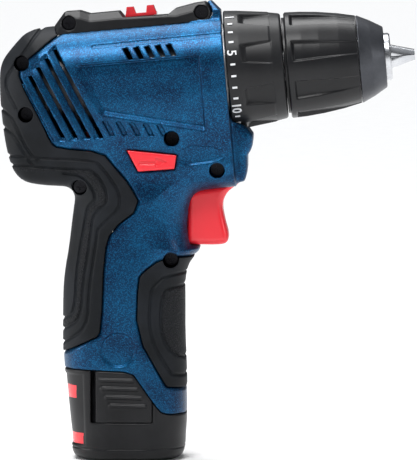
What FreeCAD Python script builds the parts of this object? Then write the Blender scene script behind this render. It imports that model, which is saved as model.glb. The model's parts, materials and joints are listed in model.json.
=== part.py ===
"""Cordless drill: every separate piece of the tool as its own solid, one STEP file per node.

The tool stands on the flat bottom of its battery, at z = 0, with x forward and y to the left.
What belongs to the head (motor, gears, chuck) is built in the head frame: s runs forward along the spindle,
y to the left and v upwards, with s = 0 at the rear face of the torque collar. HEAD carries it into place.
"""

import FreeCAD, Part
import math
import os

V = FreeCAD.Vector

# ---------------------------------------------------------------- driving dimensions, millimetres and degrees
TILT = 5.0                    # the spindle points this far above the horizontal
COLLAR_X = 39.3               # the collar's rear face, in front of the battery's middle
SEAM_REAR = 37.5              # height of the battery's seam behind
SEAM_FRONT = 19.6             # height of the battery's seam in front
GRIP_ABOVE_CELLS = 8.3        # how much longer than a cell the grip is, from the seam to the motor housing
AXIS_ABOVE_GRIP = 45.9        # from there up to the spindle at the collar
HOUSING_LENGTH = 91.5         # from the collar back to the rear wall
HEAD_WIDTH = 53.0             # across the shoulders, before they are rounded
HEAD_TOP = 24.4               # roof of the head above the spindle
HEAD_DEPTH = 39.5             # underside of the motor housing below the spindle
GRIP_BACK_MARGIN = 5.05       # room that the rounded corners need behind the battery's stem
GRIP_FRONT_MARGIN = 0.95
GRIP_ROUNDING = 0.76          # corner radius of the grip, as a share of half its width
WALL = 2.6                    # plastic wall, with the soft grip where there is one
SKIN = 1.2                    # thickness of the soft grip
FIT = 0.3                     # gap round pieces that move or drop in
RUNNING = 0.05                # radial gap of a shaft in its bush or bearing
SPLIT = 0.05                  # half the gap between the two halves of the housing

MOTOR_RADIUS = 18.0
MOTOR_LENGTH = 45.0
MOTOR_WALL = 1.2
SHAFT_RADIUS = 1.6
MOTOR_BEARING_RADIUS = 5.0
CASE_RADIUS = 19.2
CASE_WALL = 2.0
PLATE = 2.0                   # gearbox end plate
FRONT_WALL = 3.0              # gearbox front wall
MODULE = 0.7
SUN_TEETH = 12
PLANET_TEETH = 15
RING_TEETH = SUN_TEETH + 2 * PLANET_TEETH
PRESSURE_ANGLE = 25.0
BACKLASH = 0.16
PLANETS = 3
PLANET_LENGTH = 7.4
CARRIER_DISC = 2.8
PIN_RADIUS = 1.5
GEAR_GAP = 0.4                # end gap between rotating pieces
SHIFT_TRAVEL = 3.0            # how far the speed selector moves

SPINDLE_RADIUS = 5.0
SNOUT_RADIUS = 13.0           # threaded nose of the gearbox case
COLLAR_LENGTH = 23.3
COLLAR_REAR_RADIUS = 24.2
COLLAR_FRONT_RADIUS = 21.4
COLLAR_WALL = 3.4
COLLAR_POCKETS = 8

CHUCK_GAP = 1.2               # between the collar and the chuck
SLEEVE_LENGTH = 28.9          # fluted part of the chuck's sleeve
NOSE_LENGTH = 10.8            # conical part in front of it
SLEEVE_REAR_RADIUS = 21.4
SLEEVE_FRONT_RADIUS = 18.2
NOSE_RADIUS = 12.2
SLEEVE_FLUTES = 8
SLEEVE_WALL = 2.6
CHUCK_TIP_RADIUS = 9.6        # steel nose of the chuck body
CHUCK_TIP_REACH = 2.3         # how far it stands out of the sleeve
JAW_RADIUS = 3.2
JAW_ANGLE = 18.0
JAW_REACH = 9.6               # closed jaws beyond the chuck's nose
JAW_LENGTH = 29.0
JAW_TURN = 30.0               # the first jaw's place round the spindle, from straight up
CHUCK_CAPACITY = 10.0         # largest shank diameter

TRIGGER_WIDTH = 21.0
TRIGGER_TRAVEL = 6.0
SCREW_HEAD_RADIUS = 2.6
SCREW_RADIUS = 1.4
BOSS_RADIUS = 3.8
SCREW_HEAD_DEPTH = 8.0        # screw heads lie this far from the middle plane
COVER_WIDTH = 27.0

CELL_RADIUS = 9.15
CELL_LENGTH = 65.0
CELL_GAP = 0.3
BATTERY_WALL = 1.2
BATTERY_BASE = 5.0            # height of the battery's bottom cap
LATCH_SLOT = 1.9              # slot beside each battery latch
LATCH_THICKNESS = 1.4
LATCH_LOW = 15.8
LATCH_BACK = -13.2
LATCH_FRONT = 9.5
LATCH_BEAD = 0.9              # radius of the round bead that a latch tips on
STEM_MIDDLE = -2.63           # the three cells' common middle, along x
TERMINAL_Y = (-7.0, -2.4, 2.4, 7.0)

# ---------------------------------------------------------------- sizes that follow from them
CELL_PITCH = 2 * CELL_RADIUS + CELL_GAP
PAIR_X = STEM_MIDDLE - CELL_PITCH * math.sqrt(3) / 6
FRONT_CELL_X = PAIR_X + CELL_PITCH * math.sqrt(3) / 2
STEM_ROUND = CELL_RADIUS + CELL_GAP + BATTERY_WALL
GRIP_LENGTH = CELL_LENGTH + GRIP_ABOVE_CELLS
GRIP_WIDTH = CELL_PITCH + 2 * (STEM_ROUND + FIT + WALL) + FIT
GRIP_BACK = -PAIR_X + STEM_ROUND + FIT + WALL + GRIP_BACK_MARGIN
GRIP_FRONT = FRONT_CELL_X + STEM_ROUND + FIT + WALL + GRIP_FRONT_MARGIN
GRIP_TOP = SEAM_REAR + GRIP_LENGTH

# ---------------------------------------------------------------- frames
HEAD_Z = GRIP_TOP + AXIS_ABOVE_GRIP
HEAD = FreeCAD.Placement(V(COLLAR_X, 0, HEAD_Z), FreeCAD.Rotation(V(0, 1, 0), -TILT))
FORWARD = V(1, 0, 0)
UP = V(0, 0, 1)
LEFT = V(0, 1, 0)
FAR = 400.0                   # larger than the tool, for cutting tools


def head_point(s, v):
    """World (x, z) of a point in the head's middle plane."""
    p = HEAD.multVec(V(s, 0, v))
    return (p.x, p.z)


def head_point_3(s, y, v):
    """World (x, y, z) of a point in the head frame."""
    x, z = head_point(s, v)
    return (x, y, z)


def in_head(shape):
    """A shape built in the head frame, carried into the world."""
    moved = shape.copy()
    moved.transformShape(HEAD.toMatrix(), True)
    return moved


# ---------------------------------------------------------------- basic shapes
def cylinder(s0, s1, radius, y=0.0, v=0.0):
    """Round bar along the spindle."""
    return Part.makeCylinder(radius, s1 - s0, V(s0, y, v), FORWARD)


def tube(s0, s1, outer, inner):
    """Round tube along the spindle."""
    return cylinder(s0, s1, outer).cut(cylinder(s0 - 1, s1 + 1, inner))


def block(x0, x1, y0, y1, z0, z1):
    """Box between two corners."""
    return Part.makeBox(x1 - x0, y1 - y0, z1 - z0, V(x0, y0, z0))


def turned(points):
    """Solid turned about the spindle from its (s, radius) outline."""
    corners = [V(s, 0, r) for s, r in points]
    return Part.Face(Part.makePolygon(corners + corners[:1])).revolve(V(0, 0, 0), FORWARD, 360)


def rounded_wire(corners):
    """Closed wire through 3-D corners, each with its own fillet radius."""
    count = len(corners)
    edges, starts, ends = [], [], []
    for i, (p, radius) in enumerate(corners):
        back = (corners[i - 1][0] - p)
        ahead = (corners[(i + 1) % count][0] - p)
        back_length, ahead_length = back.Length, ahead.Length
        back.normalize()
        ahead.normalize()
        turn = math.pi - back.getAngle(ahead)
        if radius <= 0 or turn < 1e-3:
            starts.append(p)
            ends.append(p)
            edges.append(None)
            continue
        reach = min(radius * math.tan(turn / 2), 0.49 * back_length, 0.49 * ahead_length)
        used = reach / math.tan(turn / 2)
        start, end = p + back * reach, p + ahead * reach
        inward = back + ahead
        inward.normalize()
        middle = p + inward * (used / math.cos(turn / 2) - used)
        starts.append(start)
        ends.append(end)
        edges.append(Part.Arc(start, middle, end).toShape())
    path = []
    for i in range(count):
        if edges[i] is not None:
            path.append(edges[i])
        following = starts[(i + 1) % count]
        if ends[i].distanceToPoint(following) > 1e-6:
            path.append(Part.makeLine(ends[i], following))
    return Part.Wire(path)


def side_prism(points, y0, y1):
    """Solid with a side outline of (x, z, fillet) points, from y0 to y1."""
    wire = rounded_wire([(V(x, y0, z), radius) for x, z, radius in points])
    return Part.Face(wire).extrude(V(0, y1 - y0, 0))


def plan_prism(points, z0, z1):
    """Solid with a plan outline of (x, y, fillet) points, from z0 to z1."""
    wire = rounded_wire([(V(x, y, z0), radius) for x, y, radius in points])
    return Part.Face(wire).extrude(V(0, 0, z1 - z0))


def fused(shapes):
    """All shapes joined into one, with seams removed."""
    return shapes[0].multiFuse(shapes[1:]).removeSplitter() if len(shapes) > 1 else shapes[0]


def ring_of(shape, count, start=0.0):
    """Copies of a shape turned about the spindle."""
    copies = []
    for i in range(count):
        copy = shape.copy()
        copy.rotate(V(0, 0, 0), FORWARD, start + i * 360.0 / count)
        copies.append(copy)
    return copies


def mirrored(shape):
    """The shape on the other side of the middle plane."""
    return shape.mirror(V(0, 0, 0), LEFT)


def cable(points, radius):
    """Round cable along straight runs joined by tangent arcs as large as the runs allow."""
    corners = [V(*p) for p in points]
    path, at = [], corners[0]
    for before, p, after in zip(corners, corners[1:], corners[2:]):
        back, ahead = before - p, after - p
        run = min(back.Length, ahead.Length)
        back.normalize()
        ahead.normalize()
        turn = math.pi - back.getAngle(ahead)
        reach = 0.45 * run
        bend = reach / math.tan(turn / 2)
        start, end = p + back * reach, p + ahead * reach
        inward = back + ahead
        inward.normalize()
        middle = p + inward * (bend / math.cos(turn / 2) - bend)
        path.append(Part.makeLine(at, start))
        path.append(Part.Arc(start, middle, end).toShape())
        at = end
    path.append(Part.makeLine(at, corners[-1]))
    ring = Part.Wire(Part.makeCircle(radius, corners[0], corners[1] - corners[0]))
    return Part.Wire(path).makePipeShell([ring], True, False)


def coil_spring(radius, wire, length, turns):
    """Helical spring along x from 0 to length, of a wire radius."""
    rise = length - 2 * wire
    helix = Part.makeHelix(rise / turns, rise, radius)
    ring = Part.Wire(Part.makeCircle(wire, V(radius, 0, 0), LEFT))
    spring = Part.Wire(helix).makePipeShell([ring], True, True)
    spring.rotate(V(0, 0, 0), LEFT, 90)
    spring.translate(V(wire, 0, 0))
    return spring


# ---------------------------------------------------------------- form of the housing
def section(half_top, half_bottom, top, bottom, radius_top, radius_bottom, place):
    """Rounded four-cornered section: place turns (across, up) into a point."""
    corners = [(-half_top, top, radius_top), (half_top, top, radius_top),
               (half_bottom, bottom, radius_bottom), (-half_bottom, bottom, radius_bottom)]
    return rounded_wire([(place(across, up), radius) for across, up, radius in corners])


def head_form(inset):
    """The head as one solid, smaller all round by inset."""
    half = HEAD_WIDTH / 2
    back = -HOUSING_LENGTH
    # s, half width at the shoulder, half width below, roof, underside
    stations = [
        (back + inset, half - 7, half - 9, 7, -27),
        (back + 2.5 + inset, half - 3.5, half - 6.5, 12.5, -33),
        (back + 7.5, half - 1, half - 5, 17.5, -HEAD_DEPTH + 2),
        (back + 14, half, half - 5, HEAD_TOP - 1.4, -HEAD_DEPTH + 0.6),
        (back + 28, half, half - 5, HEAD_TOP - 1, -HEAD_DEPTH),
        (-FIT - inset, half - 1.6, half - 5, HEAD_TOP, -HEAD_DEPTH),
    ]
    wires = []
    for s, shoulder, foot, roof, floor in stations:
        shoulder, foot = shoulder - inset, foot - inset
        wires.append(section(shoulder, foot, roof - inset, floor + inset,
                             0.93 * shoulder, 0.45 * foot, lambda across, up, s=s: V(s, across, up)))
    return in_head(Part.makeLoft(wires, True, True))


def grip_levels():
    """Heights, back, front and width of the grip from the seam upwards."""
    return [
        (0.0, -GRIP_BACK + 3.4, GRIP_FRONT - 0.4, GRIP_WIDTH - 1),
        (SEAM_FRONT, -GRIP_BACK + 1.8, GRIP_FRONT + 0.9, GRIP_WIDTH),
        (SEAM_REAR, -GRIP_BACK, GRIP_FRONT + 0.3, GRIP_WIDTH - 0.2),
        (SEAM_REAR + 0.4 * GRIP_LENGTH, -GRIP_BACK + 0.4, GRIP_FRONT - 0.8, GRIP_WIDTH),
        (SEAM_REAR + 0.62 * GRIP_LENGTH, -GRIP_BACK + 2.2, GRIP_FRONT + 2.0, GRIP_WIDTH - 0.6),
        (SEAM_REAR + 0.85 * GRIP_LENGTH, -GRIP_BACK + 4.4, GRIP_FRONT + 4.0, GRIP_WIDTH - 1.2),
        (GRIP_TOP + 12, -GRIP_BACK + 5, GRIP_FRONT + 6.0, GRIP_WIDTH - 2),
    ]


def grip_form(inset, levels):
    """The grip, or the battery's foot, as one solid through the given levels."""
    wires = []
    for z, back, front, width in levels:
        half = width / 2 - inset
        corners = [(back + inset, -half), (front - inset, -half), (front - inset, half), (back + inset, half)]
        radius = GRIP_ROUNDING * half
        wires.append(rounded_wire([(V(x, y, z), radius) for x, y in corners]))
    return Part.makeLoft(wires, True, True)


def chin_form(inset):
    """The chin under the collar that carries the lamp."""
    front = [(8.2, -26.5), (7.3, -32.2), (5.5, -34.4), (4.8, -40.5), (3.7, -44.4 + inset)]
    points = [(-14, -12), (-FIT - inset, -17)] + [(s - inset, v) for s, v in front] + [(-16, -46.2 + inset)]
    chin = side_prism([head_point(s, v) + (1.0,) for s, v in points], -15 + inset, 15 - inset)
    return chin.cut(in_head(cylinder(-FIT - inset, FAR, COLLAR_REAR_RADIUS + FIT + inset)))


def throat_form(inset):
    """The web that rounds the corner between the grip and the motor housing."""
    top = GRIP_TOP
    points = [(-GRIP_BACK - 8 + 2 * inset, top + 6, 0), (-GRIP_BACK - 7 + 2 * inset, top + 0.2, 0),
              (-GRIP_BACK + 1.5 + inset, top - 3.2, 9), (-GRIP_BACK + 4.6 + inset, top - 13, 0),
              (0, top - 13, 0), (0, top + 6, 0)]
    return side_prism(points, -14 + inset, 14 - inset)


def seam_cutter(gap):
    """Everything below the battery's stepped seam, lifted by gap."""
    points = [(-FAR, -FAR, 0), (FAR, -FAR, 0), (FAR, SEAM_FRONT + gap, 0), (14.6, SEAM_FRONT + gap, 5),
              (0.6, SEAM_REAR - 1.2 + gap, 5), (-GRIP_BACK - 2, SEAM_REAR + gap, 0),
              (-FAR, SEAM_REAR + gap, 0)]
    return side_prism(points, -FAR, FAR)


def brow_form():
    """The raised edge of the roof behind the collar, which holds the cover's front end."""
    return in_head(side_prism([(s, v, 0.4) for s, v in BROW], -COVER_WIDTH / 2, COVER_WIDTH / 2))


def body_form(inset):
    """The whole outside of the tool above the battery."""
    grip = grip_form(inset, grip_levels()[1:])
    forms = [head_form(inset), grip, throat_form(inset), chin_form(inset)]
    return fused(forms if inset else forms + [brow_form()])


REAR_GRIP = [head_point(-66.5, 18.5), head_point(-77.5, 10.5), head_point(-84.5, 6.5), head_point(-84, 3),
             head_point(-79, -13), head_point(-70, -24.5), head_point(-50, -28), head_point(-47, -30),
             (5.3, GRIP_TOP - 7.7), (-8.5, GRIP_TOP - 17.6), (-12.8, SEAM_REAR + 16.3),
             (-13.6, SEAM_REAR + 13.8), (-26.3, SEAM_REAR + 5.4), (-80, SEAM_REAR - 12),
             head_point(-130, 0), head_point(-79, 60), head_point(-70, 24)]
FRONT_GRIP = [(60, GRIP_TOP - 29), (20.3, GRIP_TOP - 28.3), (12.6, GRIP_TOP - 30.2),
              (4.9, GRIP_TOP - 36.3), (3.6, GRIP_TOP - 39.3),
              (2.8, SEAM_REAR + 15.8), (4.1, SEAM_REAR + 10.9),
              (14.2, SEAM_FRONT + 11.8), (17, SEAM_FRONT + 9.2), (60, SEAM_FRONT + 10)]

SCREWS = [head_point(-81.5, 10.4), head_point(-81.6, -10.1),
          head_point(-24.1, -25), head_point(-7.1, -38.8), head_point(-62.9, -41.2),
          (17.0, GRIP_TOP - 29.8)]


def grip_region(outline):
    """Everything inside a soft grip's side outline."""
    return side_prism([(x, z, 1.0) for x, z in outline], -FAR, FAR)


def side_cylinder(x, z, radius, y0, y1):
    """Round bar across the tool."""
    return Part.makeCylinder(radius, y1 - y0, V(x, y0, z), LEFT)


# ---------------------------------------------------------------- places along the spindle
CASE_BACK = -31.0
MOTOR_FRONT = CASE_BACK - 0.5
MOTOR_BACK = MOTOR_FRONT - MOTOR_LENGTH
CARRIER_TWO_FRONT = -FRONT_WALL - GEAR_GAP
CARRIER_TWO_BACK = CARRIER_TWO_FRONT - CARRIER_DISC - 1.2
PLANET_TWO_FRONT = CARRIER_TWO_BACK - GEAR_GAP
PLANET_TWO_BACK = PLANET_TWO_FRONT - PLANET_LENGTH
CARRIER_ONE_FRONT = PLANET_TWO_BACK - GEAR_GAP
CARRIER_ONE_BACK = CARRIER_ONE_FRONT - CARRIER_DISC
PLANET_ONE_FRONT = CARRIER_ONE_BACK - GEAR_GAP
PLANET_ONE_BACK = PLANET_ONE_FRONT - PLANET_LENGTH
GEAR_CENTRES = MODULE * (SUN_TEETH + PLANET_TEETH) / 2
CARRIER_RADIUS = MODULE * (RING_TEETH / 2 - 1) - 1.2
RING_OUTER = CASE_RADIUS - CASE_WALL - 0.1
RETAINER = 1.4
SHOULDER = 2.0
SHOULDER_FRONT = COLLAR_LENGTH - RETAINER - 1.2
FORK_S = (PLANET_ONE_BACK + PLANET_ONE_FRONT) / 2
DECK = HEAD_TOP + 0.7
PRONG_TOP = HEAD_TOP + 4.6
CHUCK_BACK = COLLAR_LENGTH + CHUCK_GAP
SLEEVE_END = CHUCK_BACK + SLEEVE_LENGTH
NOSE_END = SLEEVE_END + NOSE_LENGTH
CHUCK_NOSE = NOSE_END + CHUCK_TIP_REACH
JAW_TIP = CHUCK_NOSE + JAW_REACH
JAW_CROSSING = JAW_TIP - 4.2
CHUCK_BODY_RADIUS = SLEEVE_FRONT_RADIUS - SLEEVE_WALL - 2.6
CHUCK_NUT_LENGTH = 6.0
CHUCK_NUT_BACK = SLEEVE_END - CHUCK_NUT_LENGTH
SPINDLE_END = CHUCK_BACK + 11.5


# ---------------------------------------------------------------- gears
def involute(angle):
    """The involute function of a pressure angle in radians."""
    return math.tan(angle) - angle


def gear_outline(teeth, inner, outer, widening):
    """Points of a toothed outline about the spindle, with the flanks between two radii."""
    pitch = MODULE * teeth / 2
    base = pitch * math.cos(math.radians(PRESSURE_ANGLE))
    half_tooth = math.pi / (2 * teeth) + widening / (2 * pitch)
    flank = []
    for radius in (inner, 0.5 * (inner + pitch), pitch, 0.5 * (pitch + outer), outer):
        slope = math.acos(min(1.0, base / radius))
        flank.append((radius, half_tooth + involute(math.radians(PRESSURE_ANGLE)) - involute(slope)))
    points = []
    for tooth in range(teeth):
        centre = 2 * math.pi * tooth / teeth
        sides = [(r, centre - a) for r, a in flank] + [(r, centre + a) for r, a in reversed(flank)]
        points += [(r * math.cos(a), r * math.sin(a)) for r, a in sides]
    return points


def toothed_bar(teeth, inner, outer, widening, s0, s1, turn=0.0):
    """Solid with a toothed outline, from s0 to s1."""
    corners = [V(s0, y, v) for y, v in gear_outline(teeth, inner, outer, widening)]
    bar = Part.Face(Part.makePolygon(corners + corners[:1])).extrude(V(s1 - s0, 0, 0))
    bar.rotate(V(0, 0, 0), FORWARD, turn)
    return bar


def external_gear(teeth, s0, s1, turn=0.0):
    """A plain spur gear without its bore."""
    pitch = MODULE * teeth / 2
    return toothed_bar(teeth, pitch - 1.2 * MODULE, pitch + 0.92 * MODULE, -BACKLASH, s0, s1, turn)


def internal_teeth(s0, s1):
    """The space inside a ring gear."""
    pitch = MODULE * RING_TEETH / 2
    return toothed_bar(RING_TEETH, pitch - 0.92 * MODULE, pitch + 1.2 * MODULE, BACKLASH / 2, s0, s1)


def planets(s0, s1):
    """The planet gears of a stage, each on its own centre."""
    gear = external_gear(PLANET_TEETH, s0, s1)
    gear = gear.cut(cylinder(s0 - 1, s1 + 1, PIN_RADIUS + RUNNING))
    gear.translate(V(0, GEAR_CENTRES, 0))
    return ring_of(gear, PLANETS)


def planet_pins(s0, s1):
    """The pins that carry the planets."""
    return ring_of(cylinder(s0, s1, PIN_RADIUS, GEAR_CENTRES), PLANETS)


def sun_turn():
    """Turn that puts a sun tooth space or tooth opposite a planet's inner tooth or space."""
    return 180.0 / SUN_TEETH if PLANET_TEETH % 2 == 0 else 0.0


# ---------------------------------------------------------------- drive train
def motor_parts():
    """The brushless motor: its fixed pieces and its turning pieces."""
    front, back = MOTOR_FRONT, MOTOR_BACK
    bore = MOTOR_RADIUS - MOTOR_WALL
    bearing_radius, bearing_length = MOTOR_BEARING_RADIUS, 4.0
    can = turned([(front, bearing_radius), (front, MOTOR_RADIUS), (back + 3, MOTOR_RADIUS), (back + 3, bore),
                  (front - MOTOR_WALL, bore), (front - MOTOR_WALL, bearing_radius + 1.4),
                  (front - bearing_length, bearing_radius + 1.4), (front - bearing_length, bearing_radius)])
    window = block(front - 11, front - 4, -2.4, 2.4, bore - 2, MOTOR_RADIUS + 2)
    can = can.cut(Part.makeCompound(ring_of(window, 6)))
    cap = turned([(back, MOTOR_RADIUS), (back + 3, MOTOR_RADIUS), (back + 3, bearing_radius),
                  (back - 1, bearing_radius), (back - 1, SHAFT_RADIUS + 1), (back - 2.4, SHAFT_RADIUS + 1),
                  (back - 2.4, bearing_radius + 1.2), (back, bearing_radius + 1.2)])
    core_back, core_front = back + 8, front - 13
    core_inner = bore - 2.2
    core = tube(core_back, core_front, bore, core_inner)
    rotor_radius = 8.2
    tooth = block(core_back, core_front, -1.6, 1.6, rotor_radius + 1.2, core_inner + 0.4)
    shoe = tube(core_back, core_front, rotor_radius + 1.8, rotor_radius + 0.6)
    shoe = shoe.common(block(core_back, core_front, -3.1, 3.1, 0, FAR))
    core = fused([core] + ring_of(fused([tooth, shoe]), 6))
    coil = block(core_back - 2.4, core_front + 2.4, -3.3, 3.3, rotor_radius + 2.2, core_inner - 0.5)
    coil = coil.cut(block(core_back - 0.01, core_front + 0.01, -1.65, 1.65, 0, FAR))
    upright = core_inner - rotor_radius - 2.7
    coil = coil.makeFillet(0.8, [edge for edge in coil.Edges if abs(edge.Length - upright) < 1e-6])
    coils = Part.makeCompound(ring_of(coil, 6)).cut(core)
    shaft = cylinder(back - 0.8, PLANET_ONE_FRONT - 0.2, SHAFT_RADIUS)
    magnet = tube(core_back - 1, core_front + 1, rotor_radius, SHAFT_RADIUS)
    fan_back, fan_front = front - 9.6, front - bearing_length - 0.5
    hub = tube(fan_back, fan_front, 4.4, SHAFT_RADIUS)
    disc = tube(fan_back, fan_back + 1.2, bore - 1.2, SHAFT_RADIUS)
    blade = block(fan_back, fan_front, -0.6, 0.6, 4.0, bore - 1.6)
    fan = fused([hub, disc] + ring_of(blade, 9))
    pinion = external_gear(SUN_TEETH, PLANET_ONE_BACK, PLANET_ONE_FRONT - 0.2, sun_turn())
    shaft = fused([shaft, pinion])
    return {"motor_can": can, "motor_end_cap": cap, "stator_core": core, "stator_coils": coils,
            "motor_shaft": shaft, "rotor_magnet": magnet, "cooling_fan": fan}


def bearing(s0, s1, outer, inner):
    """Ball bearing: two races and eight balls as separate solids."""
    middle = (outer + inner) / 2
    ball = 0.26 * (outer - inner)
    groove = Part.makeTorus(middle, ball + 0.02, V((s0 + s1) / 2, 0, 0), FORWARD)
    outer_race = tube(s0, s1, outer, middle + 0.45 * ball).cut(groove)
    inner_race = tube(s0, s1, middle - 0.45 * ball, inner).cut(groove)
    balls = ring_of(Part.makeSphere(ball, V((s0 + s1) / 2, middle, 0)), 8)
    return [outer_race, inner_race] + balls


def gearbox_parts():
    """The gearbox case, its end plate, ring gears, carriers, planets and clutch."""
    bore = CASE_RADIUS - CASE_WALL
    snout_end = SHOULDER_FRONT + 0.1
    bearing_front, bearing_radius = SHOULDER_FRONT - 3, 9.5
    case = turned([(CASE_BACK + PLATE, CASE_RADIUS), (0, CASE_RADIUS), (0, SNOUT_RADIUS),
                   (snout_end, SNOUT_RADIUS),
                   (snout_end, bearing_radius - 2.5), (bearing_front, bearing_radius - 2.5),
                   (bearing_front, bearing_radius), (bearing_front - 12, bearing_radius),
                   (bearing_front - 12, SPINDLE_RADIUS + 1), (-FRONT_WALL, SPINDLE_RADIUS + 1),
                   (-FRONT_WALL, bore), (CASE_BACK + PLATE, bore)])
    groove = tube(snout_end - 1.6, snout_end - 0.8, SNOUT_RADIUS + 1, SNOUT_RADIUS - 0.6)
    pin_ring = (SNOUT_RADIUS + RING_OUTER) / 2 + 0.1
    pin_hole = cylinder(-FRONT_WALL - 1, 1, PIN_RADIUS + RUNNING, pin_ring)
    shift_slot = block(CASE_BACK + PLATE + 2, CARRIER_ONE_FRONT + 3, -2.2, 2.2, bore - 2, CASE_RADIUS + 2)
    case = case.cut(Part.makeCompound([groove, shift_slot] + ring_of(pin_hole, 6, 30)))
    plate = tube(CASE_BACK, CASE_BACK + PLATE, CASE_RADIUS, 5.4)
    pins = Part.makeCompound(ring_of(cylinder(-FRONT_WALL - 1.3, 0.6, PIN_RADIUS, pin_ring), 6, 30))
    washer = tube(0.6, 1.8, COLLAR_REAR_RADIUS - COLLAR_WALL - FIT, SNOUT_RADIUS + FIT / 2)
    ring_front = -FRONT_WALL - 1.3
    ring_two = cylinder(PLANET_TWO_BACK - 0.2, ring_front, RING_OUTER)
    ring_two = ring_two.cut(internal_teeth(PLANET_TWO_BACK - 1, ring_front + 1))
    ring_one = cylinder(PLANET_ONE_BACK - 0.6, PLANET_ONE_FRONT, RING_OUTER)
    ring_one = ring_one.cut(internal_teeth(PLANET_ONE_BACK - 1, PLANET_ONE_FRONT + 1))
    ring_one = ring_one.cut(tube(FORK_S - 1, FORK_S + 1, RING_OUTER + 1, RING_OUTER - 0.8))
    carrier = fused([cylinder(CARRIER_ONE_BACK, CARRIER_ONE_FRONT, CARRIER_RADIUS),
                     external_gear(SUN_TEETH, CARRIER_ONE_FRONT, PLANET_TWO_FRONT - 0.2, sun_turn())]
                    + planet_pins(PLANET_ONE_BACK, CARRIER_ONE_BACK))
    neck = SHOULDER_FRONT + 0.4
    spindle = turned([(CARRIER_TWO_BACK, 0), (CARRIER_TWO_BACK, CARRIER_RADIUS),
                      (CARRIER_TWO_FRONT, CARRIER_RADIUS), (CARRIER_TWO_FRONT, SPINDLE_RADIUS),
                      (neck, SPINDLE_RADIUS), (neck, SPINDLE_RADIUS + 1), (SPINDLE_END, SPINDLE_RADIUS + 1),
                      (SPINDLE_END, 0)])
    spindle = fused([spindle] + planet_pins(PLANET_TWO_BACK, CARRIER_TWO_BACK))
    spindle = spindle.cut(cylinder(SPINDLE_END - 14, SPINDLE_END + 1, 2.0))
    bearings = bearing(bearing_front - 6, bearing_front, bearing_radius, SPINDLE_RADIUS + RUNNING)
    bearings += bearing(MOTOR_FRONT - 4, MOTOR_FRONT - 0.4, MOTOR_BEARING_RADIUS, SHAFT_RADIUS + RUNNING)
    bearings += bearing(MOTOR_BACK - 1, MOTOR_BACK + 2.6, MOTOR_BEARING_RADIUS, SHAFT_RADIUS + RUNNING)
    parts = {"gearbox_case": case, "gearbox_rear_plate": plate, "clutch_pins": pins, "clutch_washer": washer,
             "clutch_ring_gear": ring_two, "shift_ring_gear": ring_one, "stage_one_carrier": carrier,
             "spindle": spindle, "ball_bearings": Part.makeCompound(bearings)}
    stages = (("one", PLANET_ONE_BACK, PLANET_ONE_FRONT), ("two", PLANET_TWO_BACK, PLANET_TWO_FRONT))
    for stage, s0, s1 in stages:
        for i, planet in enumerate(planets(s0, s1), 1):
            parts[f"stage_{stage}_planet_{i}"] = planet
    return parts


def selector_parts():
    """The speed selector on the roof and the wire fork that moves the first ring gear."""
    deck = DECK + 0.1
    arm_floor = CASE_RADIUS + FIT
    plate = block(FORK_S - 16.3, FORK_S - 3.7, -5, 5, deck, deck + 1)
    stem = block(FORK_S - 8, FORK_S - 5, -3, 3, arm_floor, deck + 0.5)
    arm = block(FORK_S - 8, FORK_S + 1.4, -3, 3, arm_floor, arm_floor + 1.5)
    prongs = []
    for at in (FORK_S - 14.1, FORK_S - 5.9):
        corners = [(at - 2.1, deck + 0.5), (at + 2.1, deck + 0.5),
                   (at + 1.1, PRONG_TOP), (at - 1.5, PRONG_TOP)]
        wire = Part.makePolygon([V(s, -4.6, v) for s, v in corners + corners[:1]])
        prongs.append(Part.Face(wire).extrude(V(0, 9.2, 0)))
    wire_radius = 0.8
    post_foot = RING_OUTER - 0.5
    post = Part.makeCylinder(wire_radius, arm_floor + 1 - post_foot, V(FORK_S, 0, post_foot), UP)
    arc = tube(FORK_S - wire_radius, FORK_S + wire_radius, RING_OUTER + 0.08, RING_OUTER - 0.7)
    fork = fused([post, arc.common(block(FORK_S - 2, FORK_S + 2, -1.9, 1.9, 0, FAR))])
    selector = fused([plate, stem, arm] + prongs).cut(fork)
    return {"gear_selector": selector, "shift_fork": fork}


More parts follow.
